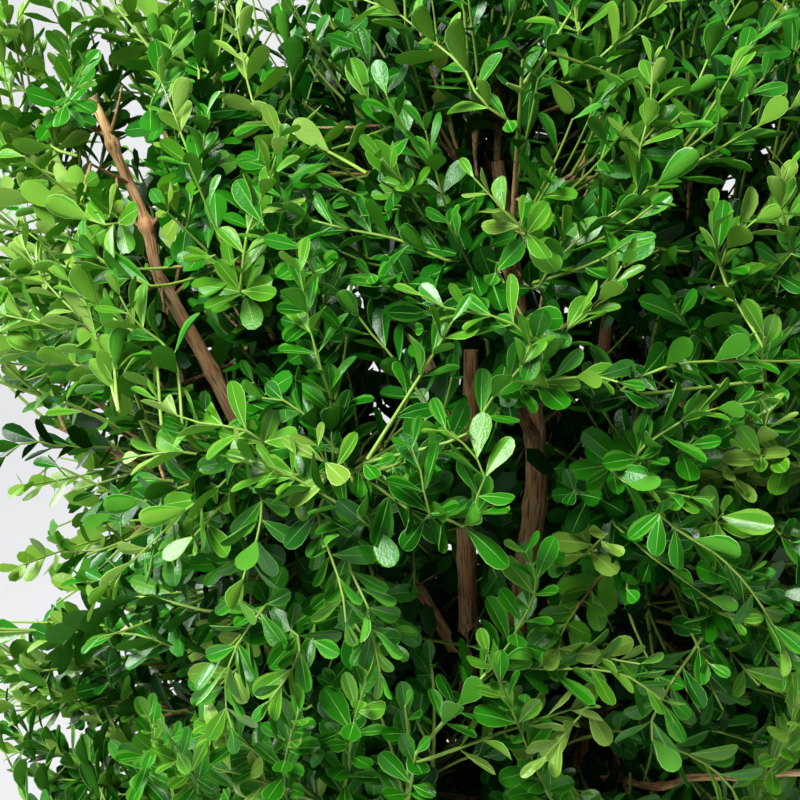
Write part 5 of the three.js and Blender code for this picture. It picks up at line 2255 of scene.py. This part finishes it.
@dataclass
class Pot:
    """The terracotta pot: a tapering body and a thick band under the rim, with softly worn edges."""

    height: float = 245.0
    rim_radius: float = 165.0
    foot_radius: float = 116.0
    wall: float = 9.0
    floor: float = 12.0
    band_height: float = 38.0
    band_proud: float = 7.0
    sides: int = 128

    def build(self) -> bpy.types.Object:
        """Builds the pot.

        Returns:
            The piece, in place of its solid.
        """
        band_foot = self.height - self.band_height
        body_top = self.rim_radius - self.band_proud
        profile = rounded(
            [
                (0, 0, 0),
                (self.foot_radius - 12, 0, 0),
                (self.foot_radius, 0, 2.5),
                (self.foot_radius + 19, band_foot / 2, 0),
                (body_top - 4, band_foot, 3),
                (self.rim_radius - 2, band_foot, 2.5),
                (self.rim_radius, self.height - 0.1, 3.5),
                (body_top - self.wall, self.height, 3),
                (body_top - self.wall - 2, self.height - 18, 0),
                (self.foot_radius - self.wall, self.floor, 5),
                (0, self.floor, 0),
            ]
        )
        mesh = turned("pot_clay", profile, self.sides)
        mesh.materials.append(Terracotta().material())
        return rides(placed("pot_clay", mesh), "terracotta", "pot")


@dataclass
class PottingBed:
    """The compost in the pot, crumbly on top, with chips of bark strewn over it."""

    top: float = 222.0
    floor: float = 12.3
    foot_radius: float = 106.4
    edge_radius: float = 142.8
    edge_fall: float = 6.0
    # The top is laid out in rings, and falls towards the edge beyond a radius
    ring_radii: tuple[int, ...] = (136, 128, 118, 108, 98, 88, 78, 68, 58, 48, 38, 28, 18, 9)
    level_radius: float = 80.0
    sides: int = 96
    unevenness: float = 2.6
    # The bed is uneven above this height and within this radius, in metres
    uneven_from: float = 0.2
    uneven_radius: float = 0.14
    seed: int = 83
    chip_size: tuple[float, float] = (3.0, 9.0)
    chips_per_square_metre: float = 11000.0
    # The ground of the chips: its sides, how deep it is sunk, how far inside the edge it ends, and the share that is
    # level
    chip_sides: int = 48
    chip_sink: float = 0.6
    chip_inset: float = 8.0
    chip_level_share: float = 0.6

    def bed(self) -> bpy.types.Object:
        """Builds the compost itself.

        Returns:
            The piece, in place of its solid.
        """
        fall = self.edge_radius + 0.2 - self.level_radius
        rings = [(r, self.top - self.edge_fall * max(0.0, (r - self.level_radius) / fall)) for r in self.ring_radii]
        profile = [(0, self.floor), (self.foot_radius, self.floor), (self.edge_radius, self.top - self.edge_fall)]
        mesh = turned("compost_bed", [*profile, *rings, (0, self.top)], self.sides)
        draws = np.random.default_rng(self.seed)
        points = np.array([v.co for v in mesh.vertices])
        on_top = (points[:, 2] > self.uneven_from) & (np.hypot(points[:, 0], points[:, 1]) < self.uneven_radius)
        points[on_top, 2] += draws.normal(-0.4, 0.4, on_top.sum()) * self.unevenness * MM
        mesh.vertices.foreach_set("co", points.ravel())
        mesh.materials.append(Compost("damp_compost", "#1f1711", "#4a392a").material())
        return rides(placed("compost_bed", mesh), "compost", "compost")

    def chip_tree(self) -> bpy.types.NodeTree:
        """Builds the geometry nodes of the bark chips.

        Returns:
            The tree: flat chips of many sizes, strewn on a surface and turned any way.
        """
        tree, given = new_tree(
            "strewn_chips",
            {
                "Ground": "Geometry",
                "Chips each square metre": "Float",
                "Smallest": "Float",
                "Largest": "Float",
                "Bark": "Material",
            },
        )
        ground = {"Mesh": given["Ground"], "Density": given["Chips each square metre"], "Seed": 5}
        strewn = add_node(tree, "GeometryNodeDistributePointsOnFaces", ground)
        block = add_node(tree, "GeometryNodeMeshIcoSphere", {"Radius": 0.5, "Subdivisions": 1})
        sizes = {2: given["Smallest"], 3: given["Largest"], "Seed": 6}
        size = add_node(tree, "FunctionNodeRandomValue", sizes, data_type="FLOAT").outputs[1]
        squash = {0: (0.6, 0.35, 0.18), 1: (1.0, 0.6, 0.35), "Seed": 7}
        squash = add_node(tree, "FunctionNodeRandomValue", squash, data_type="FLOAT_VECTOR")
        scale = add_node(tree, "ShaderNodeVectorMath", {0: squash, "Scale": size}, operation="SCALE")
        turn = {0: (-0.45, -0.45, 0.0), 1: (0.45, 0.45, math.tau), "Seed": 8}
        turn = add_node(tree, "FunctionNodeRandomValue", turn, data_type="FLOAT_VECTOR")
        chips = {"Points": strewn, "Instance": block, "Rotation": turn, "Scale": scale}
        return end_tree(tree, add_node(tree, "GeometryNodeInstanceOnPoints", chips), given["Bark"])

    def chips(self) -> bpy.types.Object:
        """Strews the chips.

        Returns:
            The piece.
        """
        level = (self.top - self.chip_sink) * MM
        reach = (self.edge_radius - self.chip_inset) * MM
        inner, sides = self.chip_level_share * reach, self.chip_sides
        angles = np.linspace(0, math.tau, sides, endpoint=False)
        ground = bpy.data.meshes.new("chip_ground")
        rim = [(reach * math.cos(a), reach * math.sin(a), level - 0.0045) for a in angles]
        flat = [(inner * math.cos(a), inner * math.sin(a), level) for a in angles]
        ring = [(i, (i + 1) % sides, sides + (i + 1) % sides, sides + i) for i in range(sides)]
        ground.from_pydata([*rim, *flat], [], [*ring, tuple(range(sides, 2 * sides))])
        values = {
            "Chips each square metre": self.chips_per_square_metre,
            "Smallest": self.chip_size[0] * MM,
            "Largest": self.chip_size[1] * MM,
            "Bark": Compost("chipped_bark", "#3a2718", "#7d5c3c").material(),
        }
        return rides(shaped("compost_chips", ground, self.chip_tree(), values), "compost")

    def build(self) -> list[bpy.types.Object]:
        """Builds the compost and the chips on it."""
        return [self.bed(), self.chips()]


@dataclass
class Studio:
    """A pale paper sweep that rises all round, soft lamps and the camera."""

    floor_radius: float = 2.6
    sweep_radius: float = 7.0
    sweep_height: float = 3.6
    sides: int = 96
    # The paper lies this far under the pot, so that their faces don't meet
    below: float = 0.0002
    paper: str = "#e6e6e7"
    daylight: float = 0.32
    # Each lamp: its place and what it points at, in metres, its two sizes, its spread in degrees and its watts
    lamps: tuple[tuple[str, tuple, tuple, float, float, float, float], ...] = (
        ("key", (-0.9, -1.25, 1.75), (0.0, -0.05, 0.55), 0.9, 0.8, 110.0, 33.0),
        ("left_rim", (-1.25, 0.55, 1.1), (-0.05, 0.0, 0.6), 0.7, 0.7, 90.0, 8.0),
        ("paper_wash", (0.0, 0.9, 3.4), (0.0, 4.5, 0.1), 4.0, 0.8, 120.0, 70.0),
        ("far_wash", (0.0, 3.6, 3.0), (0.0, 7.0, 0.9), 4.0, 0.6, 120.0, 17.0),
    )

    def floor(self) -> None:
        """Lays the paper: level under the pot, and curved up at a distance."""
        bend = np.linspace(0, math.pi / 2, 14)
        run = self.sweep_radius - self.floor_radius
        rings = [
            (self.floor_radius + run * math.sin(a), self.sweep_height * (1 - math.cos(a)) - self.below) for a in bend
        ]
        angles = np.linspace(0, math.tau, self.sides, endpoint=False)
        points = [(0.0, 0.0, -self.below)]
        for radius, height in rings:
            points += [(radius * math.cos(a), radius * math.sin(a), height) for a in angles]
        nexts = [(i, (i + 1) % self.sides) for i in range(self.sides)]
        faces = [(0, 1 + i, 1 + j) for i, j in nexts]
        for inner in range(1, 1 + (len(rings) - 1) * self.sides, self.sides):
            outer = inner + self.sides
            faces += [(inner + i, outer + i, outer + j, inner + j) for i, j in nexts]
        mesh = smooth_mesh("paper_sweep", points, faces)
        paper = bpy.data.materials.new("matt_paper")
        paper.use_nodes = True
        surface = paper.node_tree.nodes["Principled BSDF"]
        surface.inputs["Base Color"].default_value = linear(self.paper)
        surface.inputs["Roughness"].default_value = 0.95
        mesh.materials.append(paper)
        placed("paper_sweep", mesh)

    def light(self) -> None:
        """Hangs the lamps and fills the room with soft light."""
        for name, place, target, width, height, spread, power in self.lamps:
            lamp = bpy.data.lights.new(f"{name}_lamp", "AREA")
            lamp.shape = "RECTANGLE"
            lamp.size, lamp.size_y = width, height
            lamp.energy = power
            lamp.spread = math.radians(spread)
            aimed(f"{name}_lamp", lamp, Vector(place), Vector(target))
        world = bpy.data.worlds.new("white_room")
        world.use_nodes = True
        sky = world.node_tree.nodes["Background"]
        sky.inputs["Color"].default_value = linear("#f4f6fb")
        sky.inputs["Strength"].default_value = self.daylight
        bpy.context.scene.world = world

    def camera(self) -> None:
        """Sets up the camera at the photograph's viewpoint."""
        lens = bpy.data.cameras.new("camera")
        lens.sensor_width = 36.0
        lens.lens = lens.sensor_width / 2 / math.tan(math.radians(VIEW.field_of_view / 2))
        lens.clip_start, lens.clip_end = 0.05, 60.0
        bpy.context.scene.camera = aimed("camera", lens, Vector(VIEW.place * MM), Vector(VIEW.target) * MM)

    def build(self) -> None:
        """Builds the studio."""
        self.floor()
        self.light()
        self.camera()
        bpy.context.scene.view_settings.view_transform = "Standard"


def main() -> None:
    """Builds the plant, its pot and the studio."""
    logging.basicConfig(level=logging.INFO, format="%(name)s: %(message)s")
    for old in list(bpy.data.objects):
        bpy.data.objects.remove(old)
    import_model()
    crown = Crown()
    Studio().build()
    Pot().build()
    PottingBed().build()
    Woodwork(crown).build()
    Foliage(crown).build()


if __name__ == "__main__":
    main()
